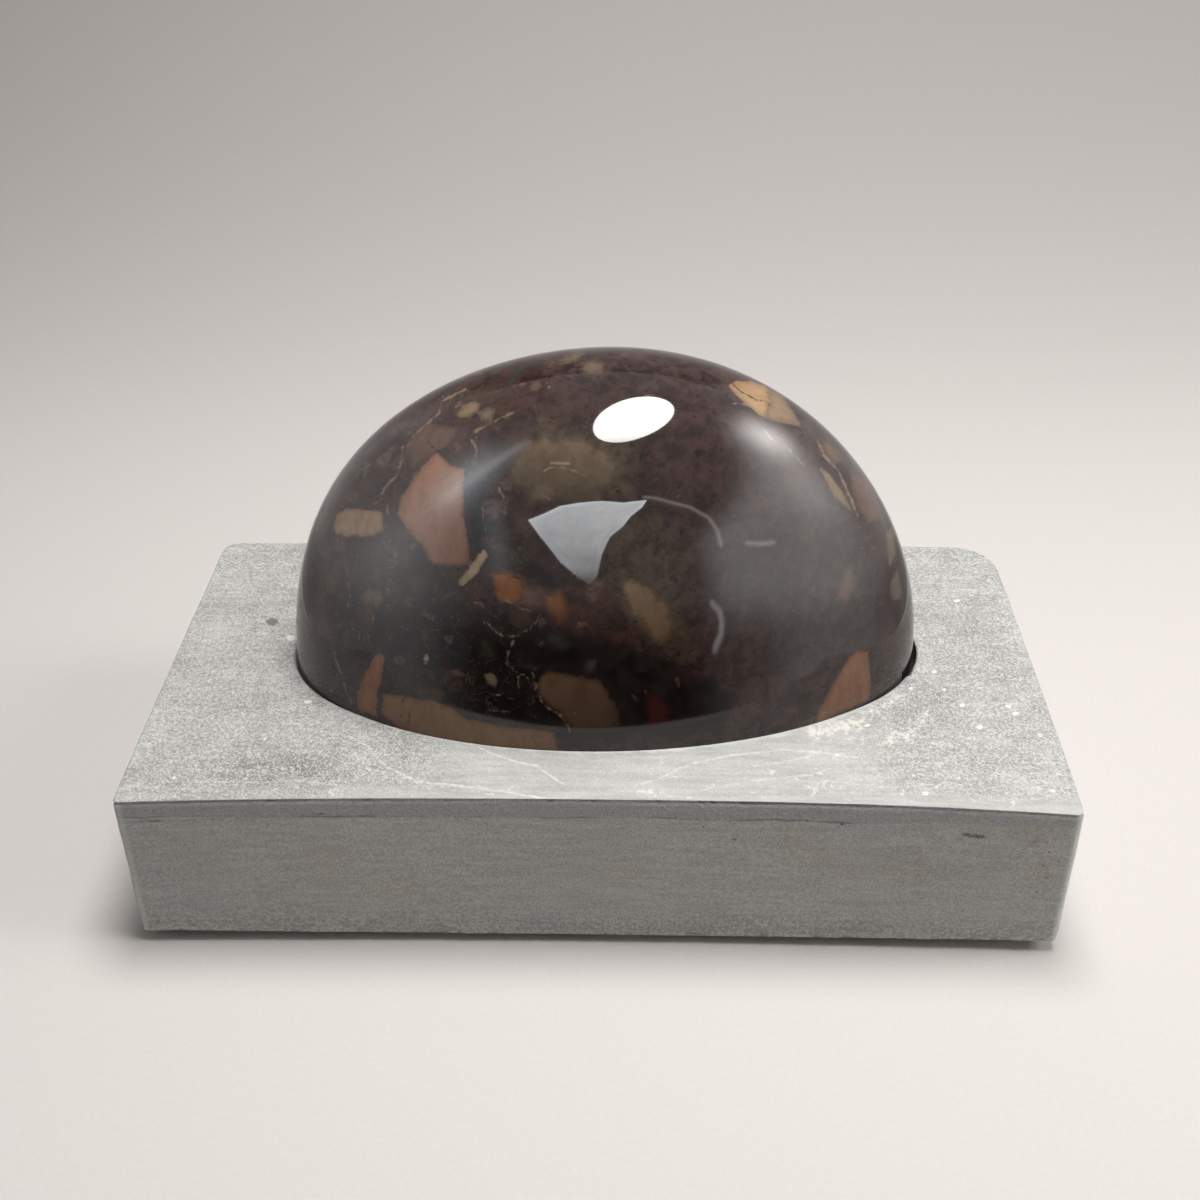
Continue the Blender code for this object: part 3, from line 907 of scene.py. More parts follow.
def block_outline(inset):
    half_x = BLOCK_LENGTH / 2
    half_y = BLOCK_DEPTH / 2
    corners = (
        (half_x, -half_y, -90, SIDE_STEPS),
        (half_x, half_y, 0, BACK_STEPS),
        (-half_x, half_y, 90, SIDE_STEPS),
        (-half_x, -half_y, 180, FRONT_STEPS),
    )
    arcs = []
    for (corner_x, corner_y, start, side_steps), radius in zip(corners, CORNER_RADII):
        middle_x = corner_x - math.copysign(radius, corner_x)
        middle_y = corner_y - math.copysign(radius, corner_y)
        arc = np.radians(start + 90 * np.arange(CORNER_STEPS + 1) / CORNER_STEPS)
        reach = max(radius - inset, 0.0)
        square_in = max(inset - radius, 0.0)
        x = middle_x + reach * np.cos(arc) - math.copysign(square_in, corner_x)
        y = middle_y + reach * np.sin(arc) - math.copysign(square_in, corner_y)
        arcs.append((x, y, side_steps))
    xs = []
    ys = []
    for index, (x, y, side_steps) in enumerate(arcs):
        next_x, next_y, _ = arcs[(index + 1) % len(arcs)]
        share = np.arange(1, side_steps) / side_steps
        xs += [x, x[-1] + share * (next_x[0] - x[-1])]
        ys += [y, y[-1] + share * (next_y[0] - y[-1])]
    x = np.concatenate(xs)
    y = np.concatenate(ys)
    bow = FRONT_BOW * (1 - np.clip(x / half_x, -1, 1) ** 2) * np.clip(-y / half_y, 0, 1) ** 2
    return x, y + bow


def rest_outline(x, y):
    across = x * REST_LENGTH / BLOCK_LENGTH
    along = y * REST_DEPTH / BLOCK_DEPTH
    past_x = np.clip(np.abs(across) - (REST_LENGTH / 2 - REST_CORNER_RADIUS), 0, None)
    past_y = np.clip(np.abs(along) - (REST_DEPTH / 2 - REST_CORNER_RADIUS), 0, None)
    past = np.hypot(past_x, past_y)
    cut = 1 - np.where(past > REST_CORNER_RADIUS, REST_CORNER_RADIUS / np.maximum(past, 1e-9), 1.0)
    return across - np.sign(across) * past_x * cut, along - np.sign(along) * past_y * cut


def top_height(x, y):
    sideways = x / (BLOCK_LENGTH / 2)
    forwards = np.clip(0.5 - y / BLOCK_DEPTH, 0, 1)
    drop = np.where(x < 0, TOP_DROP_LEFT, TOP_DROP_RIGHT)
    return BLOCK_HEIGHT - drop * np.abs(sideways) ** 3 * forwards**2


def foot_height(x):
    return FOOT_LIFT_MIDDLE + (FOOT_LIFT_ENDS - FOOT_LIFT_MIDDLE) * (x / (BLOCK_LENGTH / 2)) ** 2


def block_body():
    """Closed mesh of the block: its foot, its face, its worn edges, its top and the socket."""
    face_x, face_y = block_outline(0.0)
    rest_x, rest_y = rest_outline(face_x, face_y)
    rings = [np.stack([rest_x, rest_y, np.zeros_like(rest_x)], axis=-1)]
    quarter = [math.pi / 2 * step / EDGE_STEPS for step in range(EDGE_STEPS + 1)]
    for turn in quarter:
        x, y = block_outline(FOOT_EDGE_WEAR * (1 - math.sin(turn)))
        z = foot_height(x) + FOOT_EDGE_WEAR * (1 - math.cos(turn))
        rings.append(np.stack([x, y, z], axis=-1))
    low = rings[-1][:, 2]
    high = top_height(face_x, face_y) - TOP_EDGE_WEAR
    for step in range(1, FACE_RINGS):
        z = low + (high - low) * step / FACE_RINGS
        rings.append(np.stack([face_x, face_y, z], axis=-1))
    for turn in quarter:
        x, y = block_outline(TOP_EDGE_WEAR * (1 - math.cos(turn)))
        z = top_height(x, y) - TOP_EDGE_WEAR * (1 - math.sin(turn))
        rings.append(np.stack([x, y, z], axis=-1))
    angles = np.arctan2(
        (face_y - STONE_SHIFT_Y) / STONE_HALF_DEPTH,
        (face_x - STONE_SHIFT_X) / STONE_HALF_LENGTH,
    ) - STONE_TURN
    open_share = np.where(np.sin(angles) > 0, 1.0, smooth_step(0.72, 0.95, np.abs(np.cos(angles))))
    gap = FRONT_GAP + (END_GAP - FRONT_GAP) * open_share
    lip_wear = FRONT_LIP_WEAR + (SOCKET_LIP_WEAR - FRONT_LIP_WEAR) * open_share
    lip = seat_ring(angles, -gap - lip_wear, 0.0)
    edge = rings[-1]
    for step in range(1, TOP_RINGS):
        share = step / TOP_RINGS
        x = edge[:, 0] + share * (lip[:, 0] - edge[:, 0])
        y = edge[:, 1] + share * (lip[:, 1] - edge[:, 1])
        rings.append(np.stack([x, y, top_height(x, y)], axis=-1))
    lip[:, 2] = top_height(lip[:, 0], lip[:, 1])
    rings.append(lip)
    rings.append(seat_ring(angles, -gap, lip_wear))
    for inset, depth in seat_profile(SOCKET_EDGE_STEPS):
        rings.append(seat_ring(angles, inset - gap, depth + SOCKET_GAP))
    socket_middle = placed_on_block(0.0, 0.0, -SEAT_DEPTH - SOCKET_GAP)
    return ring_body(rings, (0.0, 0.0, 0.0), socket_middle)


def seat_reach(points, margin=0.0):
    """One on the rim of the stone's seat, more outside it."""
    return np.hypot(
        (points[:, 0] - STONE_SHIFT_X) / (STONE_HALF_LENGTH + margin),
        (points[:, 1] - STONE_SHIFT_Y) / (STONE_HALF_DEPTH + margin),
    )


# How deep each kind of wear cuts, in metres.
FINE_GRAIN = 0.00005
BROAD_GRAIN = 0.00010
FOOT_CHIPS = 0.0006
FOOT_CRUMBS = 0.00035
RIM_GRAIN = 0.00014
RIM_WAVE = 0.00024
RIM_CHIPS = 0.00045


def wear_block(points, faces):
    """Grain, crumbs and chips, all cut inwards, so that the block keeps its size."""
    normals = vertex_normals(points, faces)
    mm = points * 1000
    outside = (points[:, 2] > 0.0005) & (seat_reach(points, 0.001) > 1.0)
    upright = 1 - np.abs(normals[:, 2])
    inward = FINE_GRAIN * (1 + noise(mm, 1.3, 3, 2)) + BROAD_GRAIN * (1 + noise(mm, 7.0, 9, 2))
    above_foot = points[:, 2] - foot_height(points[:, 0])
    low_edge = smooth_step(0.0022, 0.0002, above_foot) * upright
    inward += FOOT_CHIPS * low_edge * smooth_step(0.0, 0.8, noise(mm, 2.0, 31, 3))
    inward += FOOT_CRUMBS * low_edge * smooth_step(0.0, 0.8, noise(mm, 0.9, 21))
    below_top = top_height(points[:, 0], points[:, 1]) - points[:, 2]
    on_rim = smooth_step(0.0014, 0.0004, below_top) * smooth_step(0.25, 0.6, upright)
    rim = RIM_GRAIN * (1 + noise(mm, 6.0, 33, 2)) + RIM_WAVE * (1 + noise(mm, 24.0, 35))
    rim += RIM_CHIPS * smooth_step(0.35, 0.8, noise(mm, 2.4, 34, 2))
    inward += on_rim * rim
    return points - normals * np.where(outside, inward, 0.0)[:, None]


# Ridges left by the trowel on the top: half width and line, in the photograph's pixels.
TROWEL_LINES = (
    (0.7, ((347, 736), (366, 745), (374, 755), (387, 767), (403, 775), (416, 782), (442, 784), (468, 787),
        (500, 791), (521, 795), (553, 800))),
    (0.5, ((479, 748), (492, 754), (516, 762), (537, 766), (547, 774), (563, 784))),
    (0.6, ((632, 787), (658, 779), (674, 771), (695, 763), (732, 755), (784, 750), (821, 753), (858, 758))),
    (0.3, ((753, 766), (779, 763), (816, 755), (847, 739), (874, 737))),
    (0.2, ((150, 781), (220, 783), (300, 781), (345, 786))),
    (0.3, ((352, 752), (362, 764), (372, 771))),
    (0.3, ((700, 790), (760, 780), (810, 775), (850, 762))),
)
# Patches of pale bloom: half width and line. Then the pale spots, and the pits that get painted shade: radius
# and middle.
BLOOM_PATCHES = (
    (9.0, ((812, 733), (836, 728), (860, 723))),
    (5.0, ((812, 785), (845, 786))),
    (8.0, ((890, 740), (908, 734), (924, 716))),
    (6.0, ((866, 712), (884, 706), (902, 697))),
    (5.0, ((640, 793), (660, 795))),
)
PALE_SPOTS = (
    (4.5, (291, 638)), (3.5, (308, 702)), (3.0, (266, 738)), (3.0, (174, 778)), (4.0, (980, 727)),
    (3.5, (962, 705)), (4.0, (1052, 791)), (4.0, (925, 793)), (3.0, (868, 726)), (3.0, (912, 688)),
    (3.0, (1008, 706)), (2.5, (988, 580)), (2.5, (975, 571)), (3.0, (957, 601)), (3.0, (934, 672)),
    (3.0, (1016, 714)), (3.0, (1040, 735)), (2.5, (944, 690)),
)
DARK_SPOTS = (
    (6.0, (272, 622)), (2.5, (921, 567)), (2.2, (152, 811)), (2.0, (204, 809)), (1.8, (467, 838)),
    (2.0, (734, 839)), (1.8, (1043, 866)), (2.0, (1046, 878)), (1.6, (1036, 892)), (2.0, (1049, 852)),
    (1.6, (1024, 899)), (1.8, (806, 821)), (1.8, (838, 827)), (1.6, (486, 824)), (1.6, (660, 832)),
    (1.8, (1058, 861)),
)
# Dark dashes of the seam, a chip and a crack on the face that shows: half width in pixels, and the line.
FACE_MARKS = (
    (0.5, ((128, 820), (150, 821), (178, 820), (214, 819))),
    (0.3, ((292, 816), (322, 814), (352, 816), (384, 815))),
    (1.8, ((962, 834), (972, 836), (983, 837))),
    (0.0, ((963, 906), (964, 915), (962, 925))),
    (0.3, ((835, 822), (850, 826), (862, 825))),
    (0.4, ((1012, 838), (1034, 841), (1050, 843))),
)
# Brown stains on that face: share, middle and reach in pixels.
FACE_STAINS = (
    (0.55, (335, 816), (42, 4)), (0.65, (1026, 833), (26, 8)), (0.35, (330, 856), (55, 16)),
    (0.35, (905, 868), (70, 18)), (0.40, (1042, 870), (16, 30)), (0.20, (180, 850), (40, 16)),
)
# Broad darker and lighter places on the top: change of brightness, middle and reach in pixels.
TOP_TONES = (
    (-0.40, (290, 768), (85, 26)), (-0.14, (265, 715), (60, 30)), (0.16, (205, 605), (50, 40)),
    (0.16, (1035, 775), (60, 30)), (-0.10, (945, 625), (50, 45)), (-0.22, (900, 716), (55, 26)),
    (-0.15, (500, 785), (90, 14)), (0.10, (1000, 700), (40, 25)), (-0.06, (250, 560), (40, 40)),
)


def spots_depth(places, shown, spots):
    depth = np.full(len(places), FAR_OUT)
    for radius, (x, y) in spots:
        away = np.hypot(places[:, 0] - x, 1.5 * (places[:, 1] - y))
        depth = np.maximum(depth, radius - away)
    return np.where(shown, np.clip(depth, FAR_OUT, None), FAR_OUT)


def spot_share(places, middle, reach):
    """One in the middle of a soft spot, fading to nought past its reach across and down."""
    away = (places - np.array(middle)) / np.array(reach)
    return np.exp(-(away**2).sum(axis=1))


# Where the top is smooth, in millimetres: how wide the front border is, how far left it begins, and the
# stretch in front of the stone.
BORDER_WIDTH = (7.0, 2.0)
BORDER_START = (-62, -28)
TROWELLED_LEFT = (-42, -24)
TROWELLED_RIGHT = (66, 50)
# The two upright front corners, worn round and given a painted highlight: from where along X and along Y, in
# metres.
CORNER_FROM_X = (0.0976, 0.0990)
CORNER_FROM_Y = (-0.0476, -0.0498)


def smoothed_share(points, mm):
    """Where the trowel smoothed the top: along the front edge and in front of the stone."""
    from_front = mm[:, 1] + 1000 * BLOCK_DEPTH / 2 + 1.2 * noise(mm, 9.0, 72, 3)
    band = 0.15 + 0.85 * smooth_step(*BORDER_START, mm[:, 0] + 6 * noise(mm, 10.0, 74, 3))
    border = band * smooth_step(*BORDER_WIDTH, from_front)
    start = smooth_step(*TROWELLED_LEFT, mm[:, 0] + 5 * noise(mm, 12.0, 73, 2))
    middle = 0.8 * front_share(points) * start * smooth_step(*TROWELLED_RIGHT, mm[:, 0])
    return np.maximum(border, middle)


def front_share(points):
    return smooth_step(0.006, -0.012, points[:, 1])


def paint_block(obj, points, faces):
    """Numbers on the block's points, which its material draws its marks from."""
    normals = vertex_normals(points, faces)
    towards = np.array(CAMERA_PLACE) - points
    shown = (normals * towards).sum(axis=1) > 0
    on_top = shown & (normals[:, 2] > 0.6)
    on_face = shown & (normals[:, 1] < -0.6)
    places = picture_place(points)
    mm = points * 1000
    stain = np.zeros(len(points))
    for share, middle, reach in FACE_STAINS:
        stain = np.maximum(stain, share * spot_share(places, middle, reach) * on_face)
    tone = np.ones(len(points))
    for change, middle, reach in TOP_TONES:
        ragged = 1 + 0.5 * noise(mm, 8.0, 75, 3)
        tone *= 1 + change * spot_share(places, middle, reach) * on_top * ragged
    from_seat = (seat_reach(points) - 1) * 1000 * STONE_HALF_DEPTH + 0.6 * noise(mm, 3.0, 71, 2)
    # Where the upright front corners get a painted highlight.
    corner = smooth_step(*CORNER_FROM_X, np.abs(points[:, 0])) * smooth_step(*CORNER_FROM_Y, points[:, 1])
    set_numbers(obj, "upness", np.clip(normals[:, 2], -1, 1))
    set_numbers(obj, "trowel_depth", lines_depth(places, on_top, TROWEL_LINES))
    set_numbers(obj, "bloom_depth", lines_depth(places, on_top, BLOOM_PATCHES))
    set_numbers(obj, "pale_depth", spots_depth(places, on_top, PALE_SPOTS))
    set_numbers(obj, "pit_depth", spots_depth(places, shown, DARK_SPOTS))
    set_numbers(obj, "mark_depth", lines_depth(places, on_face, FACE_MARKS))
    set_numbers(obj, "stain_share", stain)
    set_numbers(obj, "above_foot", (points[:, 2] - foot_height(points[:, 0])) * 1000)
    set_numbers(obj, "corner_highlight_share", corner)
    set_numbers(obj, "smooth_share", smoothed_share(points, mm))
    set_numbers(obj, "tone", tone)
    set_numbers(obj, "lip_share", smooth_step(0.9, 0.2, from_seat) * front_share(points))


# The cement.

# The pale colour of the top's worm-like ridges is a painted highlight, the dark colour of its hollows painted
# shade.
WORM_RIDGE_HIGHLIGHT = (0.58, 0.59, 0.57)
HOLLOW_SHADE = (0.185, 0.187, 0.181)
SMOOTHED = (0.382, 0.388, 0.374)
BLOOM_PALE = (0.64, 0.625, 0.585)
PATCH_PALE = (0.64, 0.62, 0.565)
# The pale colour of the trowel's ridges is a painted highlight.
TROWEL_RIDGE_HIGHLIGHT = (0.60, 0.605, 0.58)
SPOT_PALE = (0.68, 0.66, 0.61)
LIP_PALE = (0.56, 0.565, 0.54)
WARM_CAST = (0.351, 0.312, 0.262)
STAIN_BROWN = (0.295, 0.240, 0.176)
UPPER_BLUE = (0.256, 0.263, 0.269)
SEAM_DARK = (0.095, 0.090, 0.080)
# The dark colour of the face's pores is painted shade in them.
PORE_SHADE = (0.050, 0.048, 0.044)
MARK_DARK = (0.070, 0.064, 0.055)
CRUMB_PALE = (0.56, 0.565, 0.53)
# The pale colour of the upright front corners is a painted highlight where their rounding catches the light.
CORNER_HIGHLIGHT = (0.52, 0.53, 0.51)
# The dark colour of the pits is painted shade in them.
PIT_SHADE = (0.110, 0.105, 0.100)
TOP_STOPS = (
    (0.34, (0.272, 0.271, 0.262)),
    (0.50, (0.318, 0.317, 0.305)),
    (0.66, (0.345, 0.342, 0.330)),
)
FACE_STOPS = (
    (0.36, (0.334, 0.341, 0.325)),
    (0.52, (0.346, 0.349, 0.331)),
    (0.66, (0.357, 0.363, 0.349)),
)
# Heights on the face in millimetres: the upper band's lower edge, the seam, the coarse foot, and where
# pores thicken.
UPPER_BAND = (35.4, 36.6)
SEAM_HEIGHT = 36.1
COARSE_FOOT = (13.2, 4.2)
PORES_THICKEN = (33.2, 37.2)


def wrinkled_skin(g, mm, smooth):
    """The top's worm-like ridges and hollows, weaker where the trowel smoothed it: masks for their bumps, and
    for a painted highlight on the ridges and painted shade in the hollows.
    """
    rough = g.sub(1.0, g.mul(smooth, 0.78))
    worms = g.math("ABSOLUTE", g.sub(g.noise(mm, 1.15, 2.0, 0.5, 0.7), 0.5))
    worm = g.mul(g.step(worms, 0.080, 0.015), rough)
    hollow = g.mul(g.step(g.noise(mm, 1.35, 3.0, 0.6), 0.46, 0.36), rough)
    return worm, hollow


def trowel_ridge(g, mm):
    ridge = g.add(g.attribute("trowel_depth"), g.wander(mm, 0.8, 3.0, 0.6, 3.4))
    return g.mul(g.step(ridge, -1.3, 0.6), g.step(g.noise(mm, 0.30, 4.0, 0.7), 0.36, 0.56, 0.25, 1.0))


def cement_top(g, mm, broad, sand, ragged_spot, ridge, skin):
    """The colour of the block's top."""
    worm, hollow = skin
    smooth = g.attribute("smooth_share")
    top = g.scaled(g.ramp(broad, *TOP_STOPS), g.attribute("tone"))
    top = g.scaled(top, g.step(g.noise(mm, 0.13, 4.0, 0.62), 0.36, 0.64, 0.90, 1.08))
    # A painted highlight on the worm-like ridges and painted shade in the hollows.
    top = g.lay(top, worm, 0.55, WORM_RIDGE_HIGHLIGHT)
    top = g.lay(top, hollow, 0.55, HOLLOW_SHADE)
    top = g.scaled(top, g.step(sand, 0.30, 0.70, 0.84, 1.16))
    top = g.lay(top, smooth, 0.60, SMOOTHED)
    brushed = g.noise(g.stretched(mm, 0.10, 0.75, 0.75), 0.9, 3.0, 0.6)
    top = g.scaled(top, g.step(brushed, 0.36, 0.64, 0.93, 1.06))
    bloom = g.mul(g.step(g.noise(mm, 0.42, 5.0, 0.72, 0.6), 0.60, 0.68), g.step(broad, 0.42, 0.56))
    top = g.lay(top, bloom, 0.60, BLOOM_PALE)
    # A painted highlight along the trowel's ridges.
    top = g.lay(top, ridge, 0.62, TROWEL_RIDGE_HIGHLIGHT)
    patch = g.add(g.attribute("bloom_depth"), g.wander(mm, 0.75, 4.0, 0.7, 42.0))
    top = g.mix(g.step(patch, 2.0, 9.0, 0.0, 0.62), top, PATCH_PALE)
    spot = g.step(g.add(g.attribute("pale_depth"), ragged_spot), -0.8, 1.2)
    top = g.lay(top, spot, 0.85, SPOT_PALE)
    return g.lay(top, g.attribute("lip_share"), 0.55, LIP_PALE)


def face_pores(g, mm, height):
    cells = g.cells(g.warped(mm, 0.5, 1.0), 0.27)
    size = g.mul(g.channel(cells["Color"], 1), 0.085)
    open_part = g.step(g.sub(cells["Distance"], size), 0.025, -0.010)
    limit = g.step(height, *PORES_THICKEN, 0.82, 0.25)
    return g.mul(open_part, g.above(g.channel(cells["Color"], 0), limit))


def cement_face(g, mm, broad, sand, pore):
    """The colour of the block's upright sides."""
    level = g.part(mm, 2)
    face = g.ramp(broad, *FACE_STOPS)
    drawn = g.noise(g.stretched(mm, 0.09, 0.09, 0.85), 1.2, 3.0, 0.6)
    face = g.scaled(face, g.step(drawn, 0.34, 0.66, 0.93, 1.06))
    warm = g.step(g.noise(g.stretched(mm, 0.5, 0.5, 1.0), 0.075, 4.0, 0.65), 0.50, 0.64)
    face = g.lay(face, warm, 0.30, WARM_CAST)
    ragged_stain = g.step(g.noise(mm, 0.5, 4.0, 0.7), 0.36, 0.60)
    face = g.lay(face, g.attribute("stain_share"), ragged_stain, STAIN_BROWN)
    height = g.add(level, g.wander(g.stretched(mm, 0.06, 0.06, 0.3), 1.0, 2.0, 0.5, 3.0))
    face = g.lay(face, g.step(height, *UPPER_BAND), 0.62, UPPER_BLUE)
    seam_near = g.math("ABSOLUTE", g.sub(height, SEAM_HEIGHT))
    seam_there = g.step(g.noise(g.stretched(mm, 0.05, 0.05, 0.4), 1.0, 3.0, 0.6), 0.46, 0.60)
    face = g.lay(face, g.mul(g.step(seam_near, 0.42, 0.10), seam_there), 0.60, SEAM_DARK)
    face = g.scaled(face, g.step(sand, 0.30, 0.70, 0.80, 1.20))
    coarse = g.scaled(face, g.step(g.noise(mm, 1.3, 3.0, 0.7), 0.34, 0.66, 0.78, 1.22))
    face = g.mix(g.step(level, *COARSE_FOOT), face, coarse)
    # Painted shade in the pores.
    face = g.lay(face, pore, 0.80, PORE_SHADE)
    mark = g.add(g.attribute("mark_depth"), g.wander(mm, 0.9, 4.0, 0.7, 7.0))
    face = g.mix(g.step(mark, -0.8, 1.0, 0.0, 0.75), face, MARK_DARK)
    crumb = g.step(g.noise(mm, 1.5, 3.0, 0.65), 0.44, 0.60)
    crumb = g.mul(crumb, g.step(g.attribute("above_foot"), 2.2, 0.3))
    face = g.lay(face, crumb, 0.60, CRUMB_PALE)
    # A painted highlight on the rounded upright front corners, its strength broken by noise.
    worn = g.step(g.noise(mm, 0.7, 4.0, 0.7), 0.30, 0.60, 0.35, 0.85)
    return g.lay(face, g.attribute("corner_highlight_share"), worn, CORNER_HIGHLIGHT)


def cement_relief(g, up, sand, ridge, skin, holes):
    """The finest bumps, which the mesh is too coarse to carry."""
    worm, hollow = skin
    relief = g.mul(g.add(g.mul(worm, 0.55), g.mul(hollow, -0.50)), up)
    relief = g.add(relief, g.mul(sand, 0.55))
    relief = g.add(relief, g.mul(ridge, 0.9))
    relief = g.add(relief, g.mul(holes, -0.9))
    return g.node("ShaderNodeBump", {"Strength": 0.60, "Distance": 0.0003, "Height": relief}).outputs[0]


def cement_material():
    material, g = new_material("cast_sandy_cement")
    mm = g.millimetres()
    up = g.step(g.attribute("upness"), 0.35, 0.8)
    broad = g.noise(mm, 0.030, 3.0, 0.55)
    sand = g.noise(mm, 2.1, 3.0, 0.72)
    ragged_spot = g.wander(mm, 0.8, 3.0, 0.6, 6.0)
    ridge = trowel_ridge(g, mm)
    skin = wrinkled_skin(g, mm, g.attribute("smooth_share"))
    pore = face_pores(g, mm, g.part(mm, 2))
    top = cement_top(g, mm, broad, sand, ragged_spot, ridge, skin)
    color = g.mix(up, cement_face(g, mm, broad, sand, pore), top)
    # Painted shade in the pits.
    pit = g.step(g.add(g.attribute("pit_depth"), ragged_spot), -1.0, 1.5)
    color = g.lay(color, pit, 0.80, PIT_SHADE)
    relief = cement_relief(g, up, sand, ridge, skin, g.add(pore, pit))
    g.surface(Base_Color=color, Roughness=0.93, Specular_IOR_Level=0.25, Normal=relief)
    return material


# Floor, backdrop and light.

PAPER_STOPS = ((0.3, (0.484, 0.462, 0.450)), (0.7, (0.510, 0.489, 0.477)))
# Towards the back, between these places in millimetres, the paper grows darker by this share: painted shade
# for the light falling off.
PAPER_BACK_SHADE = (40.0, 480.0, 0.0, 0.17)
PAPER_FRONT = -2.40
PAPER_BEND_START = 0.25
PAPER_BEND_RADIUS = 0.62
PAPER_BEND_STEPS = 24
PAPER_RISE = 0.60
PAPER_HALF_WIDTH = 2.2


def paper_material():
    material, g = new_material("paper")
    mm = g.millimetres()
    color = g.ramp(g.noise(mm, 0.9, 4.0, 0.7), *PAPER_STOPS)
    # Painted shade, darker towards the back.
    color = g.mix(g.step(g.part(mm, 1), *PAPER_BACK_SHADE), color, (0.0, 0.0, 0.0))
    g.surface(Base_Color=color, Roughness=0.9, Specular_IOR_Level=0.1)
    return material


def make_stage():
    """One sheet of paper: the floor, a wide bend and the backdrop."""
    profile = [(PAPER_FRONT, 0.0), (PAPER_BEND_START, 0.0)]
    for step in range(1, PAPER_BEND_STEPS + 1):
        turn = math.pi / 2 * step / PAPER_BEND_STEPS
        profile.append((
            PAPER_BEND_START + PAPER_BEND_RADIUS * math.sin(turn),
            PAPER_BEND_RADIUS * (1 - math.cos(turn)),
        ))
    profile.append((PAPER_BEND_START + PAPER_BEND_RADIUS, PAPER_BEND_RADIUS + PAPER_RISE))
    points = []
    for y, z in profile:
        points += [(-PAPER_HALF_WIDTH, y, z), (PAPER_HALF_WIDTH, y, z)]
    faces = []
    for a in range(0, len(points) - 2, 2):
        faces += [(a, a + 1, a + 3), (a, a + 3, a + 2)]
    mesh_object("paper_sweep", np.array(points), faces, paper_material())


def facing_turn(middle, target, roll):
    """A light's turn, with its first axis rolled this far from level."""
    back = (Vector(middle) - Vector(target)).normalized()
    level = Vector((0, 0, 1)).cross(back).normalized()
    raised = back.cross(level)
    across = math.cos(roll) * level + math.sin(roll) * raised
    up = back.cross(across)
    return Matrix((across, up, back)).transposed().to_4x4()


def fade_to_edges(tree, soft):
    """A soft card's glow, fading towards its edges over this share of its size."""
    g = Graph(tree)
    parametric = g.node("ShaderNodeNewGeometry").outputs["Parametric"]
    fades = []
    for axis in range(2):
        away = g.math("ABSOLUTE", g.sub(g.part(parametric, axis), 0.5))
        fades.append(g.step(away, 0.5, 0.5 - soft))
    g.put(tree.nodes["Emission"].inputs["Strength"], g.mul(fades[0], fades[1]))


def make_card(name, middle, target, size, tint, strength, soft=0.0, roll=0.0):
    """A flat light: a rectangle that fades towards its edges or, with nothing soft, an even ellipse."""
    width, height = size
    data = bpy.data.lights.new(name, "AREA")
    data.shape = "RECTANGLE" if soft else "ELLIPSE"
    data.size = width
    data.size_y = height
    data.energy = strength * math.pi * width * height * (1.0 if soft else math.pi / 4)
    data.color = tint
    if soft:
        data.use_nodes = True
        fade_to_edges(data.node_tree, soft)
    light = bpy.data.objects.new(name, data)
    light.matrix_world = Matrix.Translation(middle) @ facing_turn(middle, target, roll)
    bpy.context.scene.collection.objects.link(light)
    return light


# The room's glow by height, from and to which height and brightness: as it is seen, and as it lights.
ROOM_SEEN = (0.0, 0.9, 0.75, 0.55)
ROOM_LIGHT = (0.25, 0.85, 0.01, 0.36)
ROOM_TINT = (1.0, 0.97, 0.95)


def make_world():
    """A pale room where it is seen or mirrored, which lights the object mostly from above."""
    world = bpy.data.worlds.new("dim_room")
    world.use_nodes = True
    g = Graph(world.node_tree)
    height = g.part(g.node("ShaderNodeTexCoord").outputs["Generated"], 2)
    path = g.node("ShaderNodeLightPath")
    seen = g.math("MAXIMUM", path.outputs["Is Glossy Ray"], path.outputs["Is Camera Ray"])
    lit = g.step(height, *ROOM_LIGHT, kind="LINEAR")
    shown = g.step(height, *ROOM_SEEN, kind="LINEAR")
    background = world.node_tree.nodes["Background"]
    g.put(background.inputs["Strength"], g.step(seen, 0.0, 1.0, lit, shown, kind="LINEAR"))
    g.put(background.inputs["Color"], ROOM_TINT)
    bpy.context.scene.world = world


# What stands round the object as the polish mirrors it: a sleeve that only mirror rays see, part of a ball
# round the stone. Its angles are degrees to the right of straight ahead of the object, and degrees up.
SLEEVE_RADIUS = 0.19
SLEEVE_MIDDLE = (0.0, 0.0, 0.0512)
SLEEVE_TURNS = (-150, 150)
SLEEVE_CLIMBS = (-14, 66)
SLEEVE_STEP = 0.6
BRIGHT_ARCS = (
    ((14, 30.8), (17.3, 30.3), (21.8, 28.3), (27.6, 25.9), (32.4, 21.6), (33.7, 17.5), (33.6, 13.0)),
    ((28.5, 0.1), (30.3, -1.4), (30.6, -3.0), (30.1, -4.9), (28.4, -6.6)),
    ((41.5, 13.2), (46, 12.7), (50.0, 12.9)),
)
BLUE_STREAKS = ((1.6, ((-49, 30), (-43, 46), (-40, 56))), (0.8, ((-31, 26), (-25, 10))))
# The window shape that it mirrors stands upright in front of the object: its outline along X and Z.
WINDOW_PLANE_Y = -0.150
WINDOW_OUTLINE = (
    (-0.0541, 0.1213), (-0.0430, 0.1271), (-0.0307, 0.1358), (-0.0144, 0.1390), (0.0022, 0.1403),
    (0.0191, 0.1378), (0.0395, 0.1414), (0.0343, 0.1316), (0.0248, 0.1219), (0.0182, 0.1112),
    (0.0086, 0.1019), (0.0032, 0.0885), (0.0005, 0.0745), (-0.0044, 0.0687), (-0.0104, 0.0723),
    (-0.0180, 0.0776), (-0.0251, 0.0835), (-0.0339, 0.0945), (-0.0428, 0.1056),
)
WINDOW_RINGS = 14
